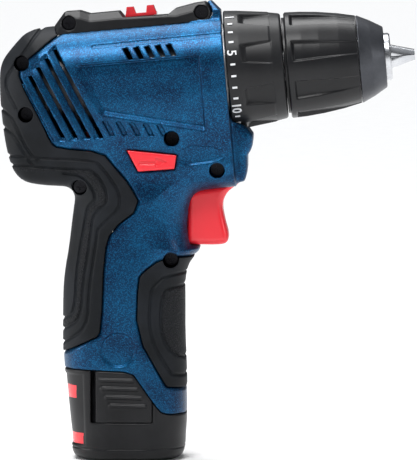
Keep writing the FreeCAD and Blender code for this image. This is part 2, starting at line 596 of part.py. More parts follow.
def collar_parts():
    """The torque collar, the nut it drives, the clutch spring and the ring that keeps the collar on."""
    rear, front = FIT, COLLAR_LENGTH
    inner = COLLAR_REAR_RADIUS - COLLAR_WALL
    band = COLLAR_LENGTH - 4.8
    band_radius = COLLAR_FRONT_RADIUS + 0.75
    shoulder_back = SHOULDER_FRONT - SHOULDER
    collar = turned([(rear, COLLAR_REAR_RADIUS - 0.3), (rear + 0.4, COLLAR_REAR_RADIUS),
                     (10.6, COLLAR_REAR_RADIUS - 0.7), (band, band_radius),
                     (front - 0.5, COLLAR_FRONT_RADIUS), (front, COLLAR_FRONT_RADIUS - 0.5),
                     (front, SNOUT_RADIUS + 4), (SHOULDER_FRONT, SNOUT_RADIUS + 4),
                     (SHOULDER_FRONT, SNOUT_RADIUS + RUNNING),
                     (shoulder_back, SNOUT_RADIUS + RUNNING),
                     (shoulder_back, inner - 3), (shoulder_back - 3, inner), (rear, inner)])
    floor = COLLAR_FRONT_RADIUS - 0.3
    clear = COLLAR_REAR_RADIUS + 2
    rings = []
    for s, low, half_low, half_high in ((7.4, COLLAR_REAR_RADIUS - 0.6, 3.2, 5.0),
                                        (9.4, floor + 0.3, 3.4, 6.0),
                                        (band, floor, 4.2, 7.0)):
        corners = [V(s, -half_low, low), V(s, half_low, low), V(s, half_high, clear), V(s, -half_high, clear)]
        rings.append(Part.makePolygon(corners + corners[:1]))
    pocket = Part.makeLoft(rings, True, True)
    key_slot = block(rear - 1, shoulder_back - 3, -2.2, 2.2, inner - 1, inner + 1.2)
    collar = collar.cut(Part.makeCompound(ring_of(pocket, COLLAR_POCKETS, 27.4) + ring_of(key_slot, 2)))
    nut_front = shoulder_back - 3.4
    nut = tube(nut_front - 3, nut_front, inner - FIT, SNOUT_RADIUS + RUNNING)
    key = block(nut_front - 3, nut_front, -2.2 + FIT / 2, 2.2 - FIT / 2, inner - 2, inner + 1.0)
    nut = fused([nut] + ring_of(key, 2))
    spring_back = 1.9
    spring = coil_spring((SNOUT_RADIUS + inner) / 2, 0.8, nut_front - 3.1 - spring_back, 3)
    spring.translate(V(spring_back, 0, 0))
    snap = tube(SHOULDER_FRONT + 0.1, SHOULDER_FRONT + 0.1 + RETAINER, SNOUT_RADIUS + 2.6, 7.6)
    return {"torque_collar": collar, "torque_nut": nut, "clutch_spring": spring, "collar_retainer": snap}


def jaw_axis_turn(shape):
    """Tilts a bar on the spindle about the point where the jaws' axes cross."""
    shape.rotate(V(JAW_CROSSING, 0, 0), LEFT, JAW_ANGLE)
    return shape


def chuck_parts():
    """The keyless chuck: body, sleeve, nose, threaded ring, three jaws and the screw that holds it on."""
    body_end = CHUCK_NOSE
    slope = math.tan(math.radians(JAW_ANGLE))
    seat = NOSE_END - 0.4
    body = turned([(CHUCK_BACK, SPINDLE_RADIUS + 1), (CHUCK_BACK, CHUCK_BODY_RADIUS + 1.5),
                   (CHUCK_BACK + 3, CHUCK_BODY_RADIUS + 1.5), (CHUCK_BACK + 3, CHUCK_BODY_RADIUS),
                   (CHUCK_NUT_BACK + CHUCK_NUT_LENGTH + 1, CHUCK_BODY_RADIUS), (seat - 3, CHUCK_TIP_RADIUS),
                   (body_end - 0.6, CHUCK_TIP_RADIUS), (body_end, CHUCK_TIP_RADIUS - 0.6),
                   (body_end, CHUCK_CAPACITY / 2 + 0.3), (SPINDLE_END + 1, CHUCK_CAPACITY / 2 + 0.3),
                   (SPINDLE_END + 1, 2.6), (SPINDLE_END, 2.6), (SPINDLE_END, SPINDLE_RADIUS + 1)])
    channel = jaw_axis_turn(cylinder(JAW_CROSSING - 70, JAW_CROSSING + 20, JAW_RADIUS + RUNNING))
    reach = JAW_RADIUS / math.cos(math.radians(JAW_ANGLE)) + 2 * RUNNING
    nut_end = CHUCK_NUT_BACK + CHUCK_NUT_LENGTH
    bore_back = (JAW_CROSSING - CHUCK_NUT_BACK) * slope + reach
    bore_front = (JAW_CROSSING - nut_end) * slope + reach
    gap = 0.2
    nut_space = turned([(CHUCK_NUT_BACK - gap, FAR / 8), (nut_end + gap, FAR / 8),
                        (nut_end + gap, bore_front - gap), (CHUCK_NUT_BACK - gap, bore_back - gap)])
    body = body.cut(Part.makeCompound(ring_of(channel, 3, JAW_TURN))).cut(nut_space)
    nut_outer = SLEEVE_FRONT_RADIUS - SLEEVE_WALL
    nut = turned([(CHUCK_NUT_BACK, nut_outer), (nut_end, nut_outer), (nut_end, bore_front),
                  (CHUCK_NUT_BACK, bore_back)])
    jaw_back = JAW_TIP - JAW_LENGTH
    jaw = jaw_axis_turn(cylinder(jaw_back + 1, JAW_TIP + 6, JAW_RADIUS))
    jaw = jaw.common(block(jaw_back, JAW_TIP, -FAR, FAR, -FAR, FAR))
    side = FAR * math.sin(math.pi / 3)
    wedge = [V(0, 0, 0), V(0, -side, FAR / 2), V(0, side, FAR / 2)]
    sector = Part.Face(Part.makePolygon(wedge + wedge[:1])).extrude(V(FAR, 0, 0))
    sector.translate(V(0, 0, 0.15))
    jaw = jaw.common(sector)
    thread = []
    for i in range(11):
        back = jaw_back + 2 + 1.4 * i
        thread.append(jaw_axis_turn(tube(back, back + 0.7, JAW_RADIUS + 1, JAW_RADIUS - 0.5)))
    outer_side = jaw_axis_turn(block(jaw_back - 20, JAW_TIP - 8, -FAR, FAR, JAW_RADIUS - 1.6, FAR))
    jaw = jaw.cut(Part.makeCompound(thread).common(outer_side))
    jaws = ring_of(jaw, 3, JAW_TURN)
    inner_rear, inner_front = SLEEVE_REAR_RADIUS - SLEEVE_WALL, SLEEVE_FRONT_RADIUS - SLEEVE_WALL
    mouth = CHUCK_BODY_RADIUS + 1.5 + FIT
    waist = 0.5 * (SLEEVE_REAR_RADIUS + SLEEVE_FRONT_RADIUS) + 0.2
    sleeve = turned([(CHUCK_BACK, SLEEVE_REAR_RADIUS - 0.4), (CHUCK_BACK + 0.4, SLEEVE_REAR_RADIUS),
                     (CHUCK_BACK + 0.5 * SLEEVE_LENGTH, waist), (SLEEVE_END, SLEEVE_FRONT_RADIUS),
                     (SLEEVE_END, inner_front), (CHUCK_NUT_BACK, inner_front),
                     (CHUCK_BACK + 3.4, inner_rear - 1.5), (CHUCK_BACK + 3.4, mouth), (CHUCK_BACK, mouth)])
    flute_start, flute_end = CHUCK_BACK + 2.4, SLEEVE_END
    sections = []
    for s, radius, depth, half in ((flute_start, SLEEVE_REAR_RADIUS, 0.25, 3.6),
                                   (flute_start + 1, SLEEVE_REAR_RADIUS, 1.5, 3.4),
                                   (flute_end + 0.1, SLEEVE_FRONT_RADIUS, 0.9, 2.4)):
        corners = [V(s, -half, radius - depth), V(s, half, radius - depth), V(s, half + 3, radius + 2),
                   V(s, -half - 3, radius + 2)]
        sections.append(Part.makePolygon(corners + corners[:1]))
    flute = Part.makeLoft(sections, True, True)
    sleeve = sleeve.cut(Part.makeCompound(ring_of(flute, SLEEVE_FLUTES, 26)))
    nose_hole = CHUCK_TIP_RADIUS + FIT
    bulge = 0.5 * (SLEEVE_FRONT_RADIUS + NOSE_RADIUS) + 0.6
    nose = turned([(SLEEVE_END, SLEEVE_FRONT_RADIUS - 0.2), (SLEEVE_END + 0.45 * NOSE_LENGTH, bulge),
                   (NOSE_END, NOSE_RADIUS), (NOSE_END, nose_hole), (seat - 1.4, nose_hole),
                   (SLEEVE_END + 2.6, inner_front - 0.8), (SLEEVE_END, inner_front - 0.8)])
    screw_head = cylinder(SPINDLE_END + 1, SPINDLE_END + 3.4, 3.4)
    screw = fused([screw_head, cylinder(SPINDLE_END - 12, SPINDLE_END + 1, 2.0)])
    parts = {"chuck_body": body, "chuck_sleeve": sleeve, "chuck_nose_sleeve": nose, "chuck_nut": nut,
             "chuck_screw": screw}
    for i, one in enumerate(jaws, 1):
        parts[f"chuck_jaw_{i}"] = one
    return parts


# ---------------------------------------------------------------- housing
TRIGGER_BACK = 24.3
TRIGGER_LOW = GRIP_TOP - 24.3
TRIGGER_HIGH = TRIGGER_LOW + 22.6
TRIGGER_SLOPE = 3.3 / 19.1    # rise of the trigger's top edge
SWITCH_FRONT = TRIGGER_BACK - TRIGGER_TRAVEL - 3.5
SWITCH_BACK = SWITCH_FRONT - 20
SWITCH_LOW = TRIGGER_LOW + 1.5
SWITCH_HIGH = TRIGGER_HIGH - 1.5
LEVER = [head_point(-42.3, -27.8), head_point(-22.7, -31.5), head_point(-24.0, -36.6),
         head_point(-38.5, -36.5)]
LAMP = [(5.5, -35.0), (5.0, -40.0), (2.6, -40.0), (3.1, -35.0)]
COVER = [(-66.6, 20.0), (-67.5, 24.4), (-62.7, 29.8), (-57.0, 29.6), (-53.1, 27.9), (-41.1, 28.0),
         (-39.3, 25.1), (-21.8, 25.1), (-18.4, 27.0), (-10.5, 28.4), (-6.2, 28.7), (-4.3, 26.6),
         (-3.7, 24.2), (-5.2, 21.4), (-11.1, 21.0)]
BROW = [(-12.0, 21.0), (-12.0, 26.4), (-7.0, 28.2), (-3.9, 28.9), (-FIT, 24.6), (-FIT, 20.8)]
COVER_SCREWS = [(-61.5, 24.8), (-8.0, 24.6)]
CELL_BOTTOM = BATTERY_BASE + 2.5
STEM_TOP = CELL_BOTTOM + CELL_LENGTH + 2.0
TOWER_TOP = STEM_TOP + 4.5


def cover_prism():
    """The block that the top cover is cut from."""
    wire = rounded_wire([(V(s, -COVER_WIDTH / 2, v), 1.2) for s, v in COVER])
    return in_head(Part.Face(wire).extrude(V(0, COVER_WIDTH, 0)))


def vents():
    """Slots over the motor and above the gearbox, in the right side."""
    cuts = []
    for i in range(4):
        s0, v0, s1, v1 = -78.5 + 3.6 * i, 5.1 + 3.3 * i, -67.9 + 5.3 * i, -19.1 - 0.9 * i
        corners = [(s0 - 0.8, v0), (s0 + 0.8, v0), (s1 + 0.8, v1), (s1 - 0.8, v1)]
        cuts.append(Part.Face(Part.makePolygon([V(s, -40, v) for s, v in corners + corners[:1]])))
    for i in range(5):
        s = -38.6 + 4.35 * i
        corners = [(s - 1.6, 12.2), (s + 0.4, 12.2), (s + 1.6, 8.2), (s - 0.4, 8.2)]
        cuts.append(Part.Face(Part.makePolygon([V(p, -40, v) for p, v in corners + corners[:1]])))
    return in_head(Part.makeCompound([face.extrude(V(0, 28, 0)) for face in cuts]))


def arm_channel():
    """The way that the speed selector's arm slides in, under the roof."""
    floor = CASE_RADIUS + FIT / 2
    return in_head(block(FORK_S - 8.6, FORK_S + 2 + SHIFT_TRAVEL, -3.6, 3.6, floor, floor + 2.1))


def trigger_window():
    """The opening that the trigger slides in."""
    half = TRIGGER_WIDTH / 2 + FIT
    low, high = TRIGGER_LOW - FIT, TRIGGER_HIGH + FIT
    bend = TRIGGER_BACK + 2.4 - TRIGGER_TRAVEL
    ahead = TRIGGER_BACK + 45
    points = [(SWITCH_FRONT, low, 0), (ahead, low, 0), (ahead, high + TRIGGER_SLOPE * (ahead - bend), 0),
              (bend, high, 0), (SWITCH_FRONT, high, 0)]
    return side_prism(points, -half, half)


def lever_outline(gap):
    """Side outline of the direction lever, wider by gap."""
    middle_x = sum(x for x, z in LEVER) / 4
    middle_z = sum(z for x, z in LEVER) / 4
    return [(x + math.copysign(gap, x - middle_x), z + math.copysign(gap, z - middle_z), 0.8)
            for x, z in LEVER]


def lamp_prism(gap):
    """The lamp's lens, wider by gap."""
    return in_head(side_prism([(s, v, 0) for s, v in LAMP], -4.2 - gap, 4.2 + gap))


def housing_parts():
    """The two halves of the housing, their soft grips, the top cover and the screws."""
    outer, skin, cavity = body_form(0), body_form(SKIN), body_form(WALL)
    bosses = [side_cylinder(x, z, BOSS_RADIUS, -FAR / 4, FAR / 4) for x, z in SCREWS]
    slab = head_form(WALL)
    ribs = []
    for s, radius in ((MOTOR_BACK + 5, MOTOR_RADIUS), (MOTOR_BACK + 24, MOTOR_RADIUS),
                      (CASE_BACK + 1, CASE_RADIUS), (-7, CASE_RADIUS)):
        plate = in_head(block(s, s + 1.6, -FAR, FAR, -21.5, FAR).cut(cylinder(s - 1, s + 3, radius)))
        ribs.append(slab.common(plate))
    shell = outer.cut(cavity)
    posts = outer.common(Part.makeCompound(bosses))
    shell = shell.multiFuse(list(posts.Solids) + ribs)
    opening = in_head(cylinder(-WALL - 2, 2, CASE_RADIUS))
    lever_hole = side_prism(lever_outline(FIT), -FAR, FAR)
    lead_way = in_head(block(-WALL - 3, 3, 1, 9, -39.4, -31))
    far_side = block(-FAR, FAR, -SPLIT, FAR, -FAR, FAR)
    cuts = [seam_cutter(FIT), opening, lead_way, cover_prism(), lever_hole, trigger_window(), lamp_prism(0),
            vents(), arm_channel(), far_side]
    half = shell
    for cut in cuts:
        half = half.cut(cut)
    grips = []
    for outline in (REAR_GRIP, FRONT_GRIP):
        region = grip_region(outline)
        grip = outer.common(region).cut(skin).cut(cover_prism()).cut(seam_cutter(FIT)).cut(far_side)
        for cut in (lever_hole, trigger_window(), vents()):
            grip = grip.cut(cut)
        grips.append(grip)
        half = half.cut(region.common(outer.cut(skin)))
    counterbores = [side_cylinder(x, z, SCREW_HEAD_RADIUS + FIT, -FAR, -SCREW_HEAD_DEPTH) for x, z in SCREWS]
    shanks = [side_cylinder(x, z, SCREW_RADIUS + 2 * RUNNING, -FAR, FAR) for x, z in SCREWS]
    pilots = [side_cylinder(x, z, SCREW_RADIUS, -FAR, 11) for x, z in SCREWS]
    skins = Part.makeCompound(grips)
    parts = {"housing_right": half.cut(Part.makeCompound(counterbores)).cut(Part.makeCompound(shanks)),
             "housing_left": mirrored(half).cut(Part.makeCompound(pilots)),
             "soft_grip_right": skins.cut(Part.makeCompound(counterbores)), "soft_grip_left": mirrored(skins)}
    screws = []
    for x, z in SCREWS:
        screws.append(screw(x, z, SCREW_HEAD_DEPTH))
    cover = cover_prism().cut(cavity)
    slot = in_head(block(FORK_S - 8.6, FORK_S - 4.4 + SHIFT_TRAVEL, -3.6, 3.6, 0, FAR))
    cover = cover.cut(slot).cut(arm_channel())
    for s, v in COVER_SCREWS:
        x, z = head_point(s, v)
        cover = cover.cut(side_cylinder(x, z, SCREW_HEAD_RADIUS + FIT, -FAR, -SCREW_HEAD_DEPTH))
        cover = cover.cut(side_cylinder(x, z, SCREW_RADIUS, -FAR, 10))
        screws.append(screw(x, z, SCREW_HEAD_DEPTH))
    parts["top_cover"] = cover
    parts["housing_screws"] = Part.makeCompound(screws)
    return parts


def screw(x, z, depth):
    """Cross-slotted screw across the tool, its head outside and its head's underside at depth."""
    head = side_cylinder(x, z, SCREW_HEAD_RADIUS, -depth - 2, -depth)
    shank = side_cylinder(x, z, SCREW_RADIUS, -depth, 9)
    slots = [block(x - 1.5, x + 1.5, -depth - 3, -depth - 1, z - 0.4, z + 0.4),
             block(x - 0.4, x + 0.4, -depth - 3, -depth - 1, z - 1.5, z + 1.5)]
    return fused([head, shank]).cut(Part.makeCompound(slots))


# ---------------------------------------------------------------- controls and electrics
def control_parts():
    """Trigger, direction lever, switch, control board, lamp, terminals and wires."""
    outline = [(TRIGGER_BACK, TRIGGER_LOW + 11.7, 0), (TRIGGER_BACK + 2.4, TRIGGER_HIGH, 1.5),
               (TRIGGER_BACK + 21.5, TRIGGER_HIGH + 19.1 * TRIGGER_SLOPE, 0.3),
               (TRIGGER_BACK + 14.6, TRIGGER_HIGH - 1.6, 6),
               (TRIGGER_BACK + 13, TRIGGER_HIGH - 6.4, 8), (TRIGGER_BACK + 15.8, TRIGGER_LOW + 3.2, 3),
               (TRIGGER_BACK + 14.6, TRIGGER_LOW + 0.4, 1.5), (TRIGGER_BACK + 4.1, TRIGGER_LOW, 1)]
    trigger = side_prism(outline, -TRIGGER_WIDTH / 2, TRIGGER_WIDTH / 2)
    middle = (SWITCH_LOW + SWITCH_HIGH) / 2
    plunger = Part.makeCylinder(2.4, TRIGGER_BACK + 6 - SWITCH_FRONT, V(SWITCH_FRONT - 2, 0, middle), FORWARD)
    trigger = fused([trigger, plunger])
    bore_back = SWITCH_FRONT - TRIGGER_TRAVEL - 3.5
    bore = Part.makeCylinder(2.4 + FIT, TRIGGER_TRAVEL + 4, V(bore_back, 0, middle), FORWARD)
    switch = block(SWITCH_BACK, SWITCH_FRONT, -9, 9, SWITCH_LOW, SWITCH_HIGH).cut(bore)
    spring = coil_spring(3.6, 0.4, TRIGGER_BACK - SWITCH_FRONT - 0.3, 5)
    spring.translate(V(SWITCH_FRONT + 0.1, 0, middle))
    lever_half = 23.6
    lever = side_prism(lever_outline(0), -lever_half, lever_half)
    board_x = SWITCH_BACK - 6
    board_low, board_high = SWITCH_LOW + 2, SWITCH_HIGH + 2
    board = block(board_x, board_x + 1.6, -14, 14, board_low, board_high)
    sink = block(board_x - 5, board_x, -12, 12, SWITCH_LOW + 3, SWITCH_HIGH)
    fins = [block(board_x - 6, board_x - 1.2, -10.4 + 3.2 * i, -8.8 + 3.2 * i, SWITCH_LOW, FAR)
            for i in range(7)]
    sink = sink.cut(Part.makeCompound(fins))
    lens = lamp_prism(0)
    lamp_board = in_head(block(0.6, 2.0, -5, 5, -40.4, -34.6))
    holder_low = TOWER_TOP + 0.8
    holder = block(-15, -2, -10, 10, holder_low, holder_low + 4)
    blades, slots = [], []
    for y in TERMINAL_Y:
        blades.append(block(-12, -5, y - 0.4, y + 0.4, TOWER_TOP - 5, holder_low + 3))
        slots.append(block(-13, -4, y - 0.9, y + 0.9, TOWER_TOP - 6, TOWER_TOP + 1))
    holder = holder.cut(Part.makeCompound(blades))
    wires = []
    motor_x, motor_z = head_point(-58, -MOTOR_RADIUS)
    for y in (-4.5, 0, 4.5):
        wires.append(cable([(board_x + 0.8, y, board_high), (board_x + 0.8, y, board_high + 6),
                            (motor_x, y, motor_z - 10), (motor_x, y, motor_z - 1.8)], 1.1))
    for y in (-5, 5):
        wires.append(cable([(-8.6, y, holder_low + 4), (-8.6, y, holder_low + 6),
                            (board_x + 0.8, y, board_low - 2), (board_x + 0.8, y, board_low)], 0.7))
    wires.append(cable([(SWITCH_FRONT - 4, 7, SWITCH_HIGH), (SWITCH_FRONT - 4, 7, SWITCH_HIGH + 5),
                        (SWITCH_FRONT + 7, 7.5, SWITCH_HIGH + 9), (SWITCH_FRONT + 12, 6.5, SWITCH_HIGH + 16),
                        head_point_3(-6.5, 5, -31.8), head_point_3(-2.6, 3, -36),
                        head_point_3(0.6, 3, -36)], 0.7))
    return {"trigger": trigger, "trigger_spring": spring, "trigger_switch": switch, "direction_lever": lever,
            "control_board": board, "heat_sink": sink, "lamp_lens": lens, "lamp_board": lamp_board,
            "terminal_holder": holder, "terminal_blades": Part.makeCompound(blades),
            "inner_wires": Part.makeCompound(wires)}, slots


# ---------------------------------------------------------------- battery
def cell_hull(radius, z0, z1):
    """Rounded triangle round the three cells."""
    corner = CELL_PITCH / math.sqrt(3) + 2 * radius
    points = [(STEM_MIDDLE + corner * math.cos(math.radians(a)), corner * math.sin(math.radians(a)), radius)
              for a in (0, 120, 240)]
    return plan_prism(points, z0, z1)


def foot_form(inset):
    """The battery's foot below the seam."""
    levels = grip_levels()[:4]
    base = [(0.0, levels[0][1] + 2.6, levels[0][2] - 2.6, levels[0][3] - 5.2),
            (1.2, levels[0][1] + 0.7, levels[0][2] - 0.7, levels[0][3] - 1.4),
            (3.2, levels[0][1], levels[0][2], levels[0][3])]
    return grip_form(inset, base + levels[1:])


def battery_parts(slots):
    """The battery: case, base, cells, their strips, the contacts and the two latches."""
    foot, inner = foot_form(0), foot_form(BATTERY_WALL + 0.8)
    below = seam_cutter(0)
    stem = cell_hull(STEM_ROUND, BATTERY_BASE, STEM_TOP)
    bay = cell_hull(CELL_RADIUS + CELL_GAP, -1, CELL_BOTTOM + CELL_LENGTH + 0.5)
    low = seam_cutter(-BATTERY_WALL - 0.8)
    tower = block(-14, -3, -9.5, 9.5, STEM_TOP - 1, TOWER_TOP)
    window = block(LATCH_BACK - LATCH_SLOT, LATCH_FRONT + FIT, -FAR, -GRIP_WIDTH / 3, LATCH_LOW - FIT, FAR)
    shell = foot.common(below).cut(inner.common(low)).cut(window).cut(mirrored(window))
    case = shell.multiFuse([stem, tower]).cut(bay)
    case = case.cut(block(-FAR, FAR, -FAR, FAR, -1, BATTERY_BASE)).cut(Part.makeCompound(slots))
    base = foot.common(block(-FAR, FAR, -FAR, FAR, 0, BATTERY_BASE))
    base = base.cut(foot_form(BATTERY_WALL + 0.8).common(block(-FAR, FAR, -FAR, FAR, 2, 9)))
    centres = [(PAIR_X, -CELL_PITCH / 2), (PAIR_X, CELL_PITCH / 2), (FRONT_CELL_X, 0)]
    cells = [Part.makeCylinder(CELL_RADIUS, CELL_LENGTH, V(x, y, CELL_BOTTOM)) for x, y in centres]
    cradle = cell_hull(CELL_RADIUS, 2, CELL_BOTTOM - 0.3)
    strip_end = CELL_PITCH / 2 + 4
    strips = [block(PAIR_X - 4, PAIR_X + 4, -strip_end, strip_end, CELL_BOTTOM - 0.3, CELL_BOTTOM),
              plan_prism([(PAIR_X - 3, -CELL_PITCH / 2 - 3, 2), (FRONT_CELL_X + 4, -4, 2),
                          (FRONT_CELL_X + 4, 4, 2),
                          (PAIR_X - 3, -CELL_PITCH / 2 + 4, 2)], CELL_BOTTOM + CELL_LENGTH,
                         CELL_BOTTOM + CELL_LENGTH + 0.3)]
    contacts = []
    for y in TERMINAL_Y:
        clip = block(-11, -5, y - 0.9, y + 0.9, TOWER_TOP - 5.9, TOWER_TOP - 1)
        contacts.append(clip.cut(block(-12, -4, y - 0.6, y + 0.6, TOWER_TOP - 5.4, TOWER_TOP)))
    parts = {"battery_cells": Part.makeCompound(cells), "battery_base": base, "cell_cradle": cradle,
             "battery_contacts": Part.makeCompound(strips + contacts)}
    latch = foot.cut(foot_form(LATCH_THICKNESS)).common(seam_cutter(-FIT))
    latch = latch.common(block(LATCH_BACK, LATCH_FRONT, -FAR, 0, LATCH_LOW, FAR))
    bead_y = GRIP_WIDTH / 2 - LATCH_THICKNESS - 0.5
    bead = Part.makeCylinder(LATCH_BEAD, LATCH_FRONT - 2, V(0, -bead_y, LATCH_LOW + LATCH_BEAD), FORWARD)
    latch = fused([latch, bead])
    parts["battery_case"] = case
    parts["latch_right"] = latch
    parts["latch_left"] = mirrored(latch)
    return parts


def main():
    """Builds every piece and writes it to its own file."""
    os.makedirs("parts", exist_ok=True)
    head = {}
    for group in (motor_parts(), gearbox_parts(), selector_parts(), collar_parts(), chuck_parts()):
        head.update(group)
    parts = {name: in_head(shape) for name, shape in head.items()}
    controls, slots = control_parts()
    parts.update(controls)
    parts.update(battery_parts(slots))
    parts.update(housing_parts())
    for name, shape in sorted(parts.items()):
        shape.exportStep(f"parts/{name}.step")


main()
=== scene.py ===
"""Cordless drill: the looks of every piece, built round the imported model.

Shapes are carved as distance fields on a regular lattice, or turned about the spindle, in millimetres. Two
frames are used: the tool's own (x forward, y to the left, z up, with the battery's foot at z = 0) and the
head's (s forward along the spindle, v upwards across it, with s = 0 at the rear of the torque collar).
"""

from __future__ import annotations

import json
import logging
import math
from dataclasses import dataclass
from enum import Enum
from functools import reduce
from typing import Callable, ClassVar, Sequence

import bpy
import numpy as np
import openvdb
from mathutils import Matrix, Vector

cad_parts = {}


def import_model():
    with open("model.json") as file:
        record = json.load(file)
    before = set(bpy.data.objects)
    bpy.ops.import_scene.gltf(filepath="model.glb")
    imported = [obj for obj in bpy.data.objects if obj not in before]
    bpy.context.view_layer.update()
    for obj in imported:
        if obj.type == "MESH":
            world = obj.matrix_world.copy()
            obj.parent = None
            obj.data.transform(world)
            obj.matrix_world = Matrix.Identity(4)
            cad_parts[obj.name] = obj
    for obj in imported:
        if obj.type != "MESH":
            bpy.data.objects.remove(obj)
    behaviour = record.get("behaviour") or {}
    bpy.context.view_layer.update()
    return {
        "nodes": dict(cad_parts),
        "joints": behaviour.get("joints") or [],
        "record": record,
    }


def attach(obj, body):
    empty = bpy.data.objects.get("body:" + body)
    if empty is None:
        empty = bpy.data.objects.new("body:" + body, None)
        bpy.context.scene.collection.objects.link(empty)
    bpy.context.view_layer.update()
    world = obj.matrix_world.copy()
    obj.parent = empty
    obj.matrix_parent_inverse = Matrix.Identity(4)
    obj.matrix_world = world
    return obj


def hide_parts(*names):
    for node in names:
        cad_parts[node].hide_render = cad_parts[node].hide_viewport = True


LOG = logging.getLogger("cordless_drill")
Point = tuple[float, float]
Outline = tuple[Point, ...]
Triple = tuple[float, float, float]
Array = np.ndarray
Piece = bpy.types.Object

MM = 0.001  # metres in a millimetre
BEVEL_ACROSS, BEVEL_UP = 0.62, 0.78  # lean of the bevels along the roof
SIDES = ((1, "right"), (-1, "left"))  # as carved, then mirrored
BOX_CORNERS = tuple((x, y, z) for z in (0, 1) for x, y in ((-1, 0), (1, 0), (1, 1), (-1, 1)))
BOX_FACES = ((0, 3, 2, 1), (4, 5, 6, 7), (0, 1, 5, 4), (1, 2, 6, 5), (2, 3, 7, 6), (3, 0, 4, 7))


# -------------------- shader expressions
class Wire:
    """A node socket that takes part in Python expressions."""

    def __init__(self, tree: bpy.types.NodeTree, socket: bpy.types.NodeSocket) -> None:
        """Wraps a socket of a tree."""
        self.tree = tree
        self.socket = socket

    def _math(self, operation: str, first: object, second: object) -> "Wire":
        """Adds one Math node.

        Args:
            operation: the node's operation.
            first: a Wire or a number.
            second: a Wire or a number.

        Returns:
            The node's result.
        """
        return Nodes(self.tree).add("ShaderNodeMath", {"operation": operation}, {0: first, 1: second})

    def __add__(self, other: object) -> "Wire":
        """Sum."""
        return self._math("ADD", self, other)

    def __radd__(self, other: object) -> "Wire":
        """Sum, reflected."""
        return self._math("ADD", other, self)

    def __rsub__(self, other: object) -> "Wire":
        """Difference from a number."""
        return self._math("SUBTRACT", other, self)

    def __mul__(self, other: object) -> "Wire":
        """Product."""
        return self._math("MULTIPLY", self, other)

    def clamp(self) -> "Wire":
        """The value limited to 0 and 1."""
        return Nodes(self.tree).add("ShaderNodeClamp", {}, {"Value": self})

    def ramp(self, low: float, high: float) -> "Wire":
        """0 at low and 1 at high, smooth between."""
        return Nodes(self.tree).add("ShaderNodeMapRange", {"interpolation_type": "SMOOTHSTEP"},
                                    {"Value": self, "From Min": low, "From Max": high})


class Nodes:
    """Adds nodes to a tree."""

    def __init__(self, tree: bpy.types.NodeTree) -> None:
        """Keeps the tree."""
        self.tree = tree

    def add(self, kind: str, settings: dict[str, object], inputs: dict[object, object],
            output: int | str = 0) -> Wire:
        """Adds a node, sets it, then fills or links its sockets.

        Args:
            kind: the node's type.
            settings: attributes of the node.
            inputs: socket name or number to a Wire or a value.
            output: which output comes back.

        Returns:
            The chosen output.
        """
        node = self.tree.nodes.new(kind)
        for key, value in settings.items():
            setattr(node, key, value)
        for key, value in inputs.items():
            if isinstance(value, Wire):
                self.tree.links.new(value.socket, node.inputs[key])
            else:
                node.inputs[key].default_value = value
        return Wire(self.tree, node.outputs[output])

    def position(self) -> Wire:
        """The point in the object's own space, in metres."""
        return self.add("ShaderNodeTexCoord", {}, {}, "Object")

    def noise(self, scale: float, detail: float = 3.0, rough: float = 0.5) -> Wire:
        """Cloudy noise at a scale per metre."""
        return self.add("ShaderNodeTexNoise", {}, {
            "Vector": self.position(), "Scale": scale, "Detail": detail, "Roughness": rough})

    def cells(self, scale: float, output: str = "Distance") -> Wire:
        """Cells at a scale per metre."""
        return self.add("ShaderNodeTexVoronoi", {"feature": "F1"},
                        {"Vector": self.position(), "Scale": scale}, output)

    def mix(self, factor: object, first: object, second: object) -> Wire:
        """Mix of two colours."""
        return self.add("ShaderNodeMix", {"data_type": "RGBA"}, {0: factor, 6: first, 7: second}, 2)

    def bump(self, height: Wire, distance: float) -> Wire:
        """Normal from a height, with its full height in metres."""
        return self.add("ShaderNodeBump", {}, {"Height": height, "Distance": distance, "Strength": 1.0})


class Grain(Enum):
    """Fine relief of a surface."""

    SMOOTH = "smooth"
    SPARK = "spark"
    KNURL = "knurl"
    CAST = "cast"
    BRUSHED = "brushed"


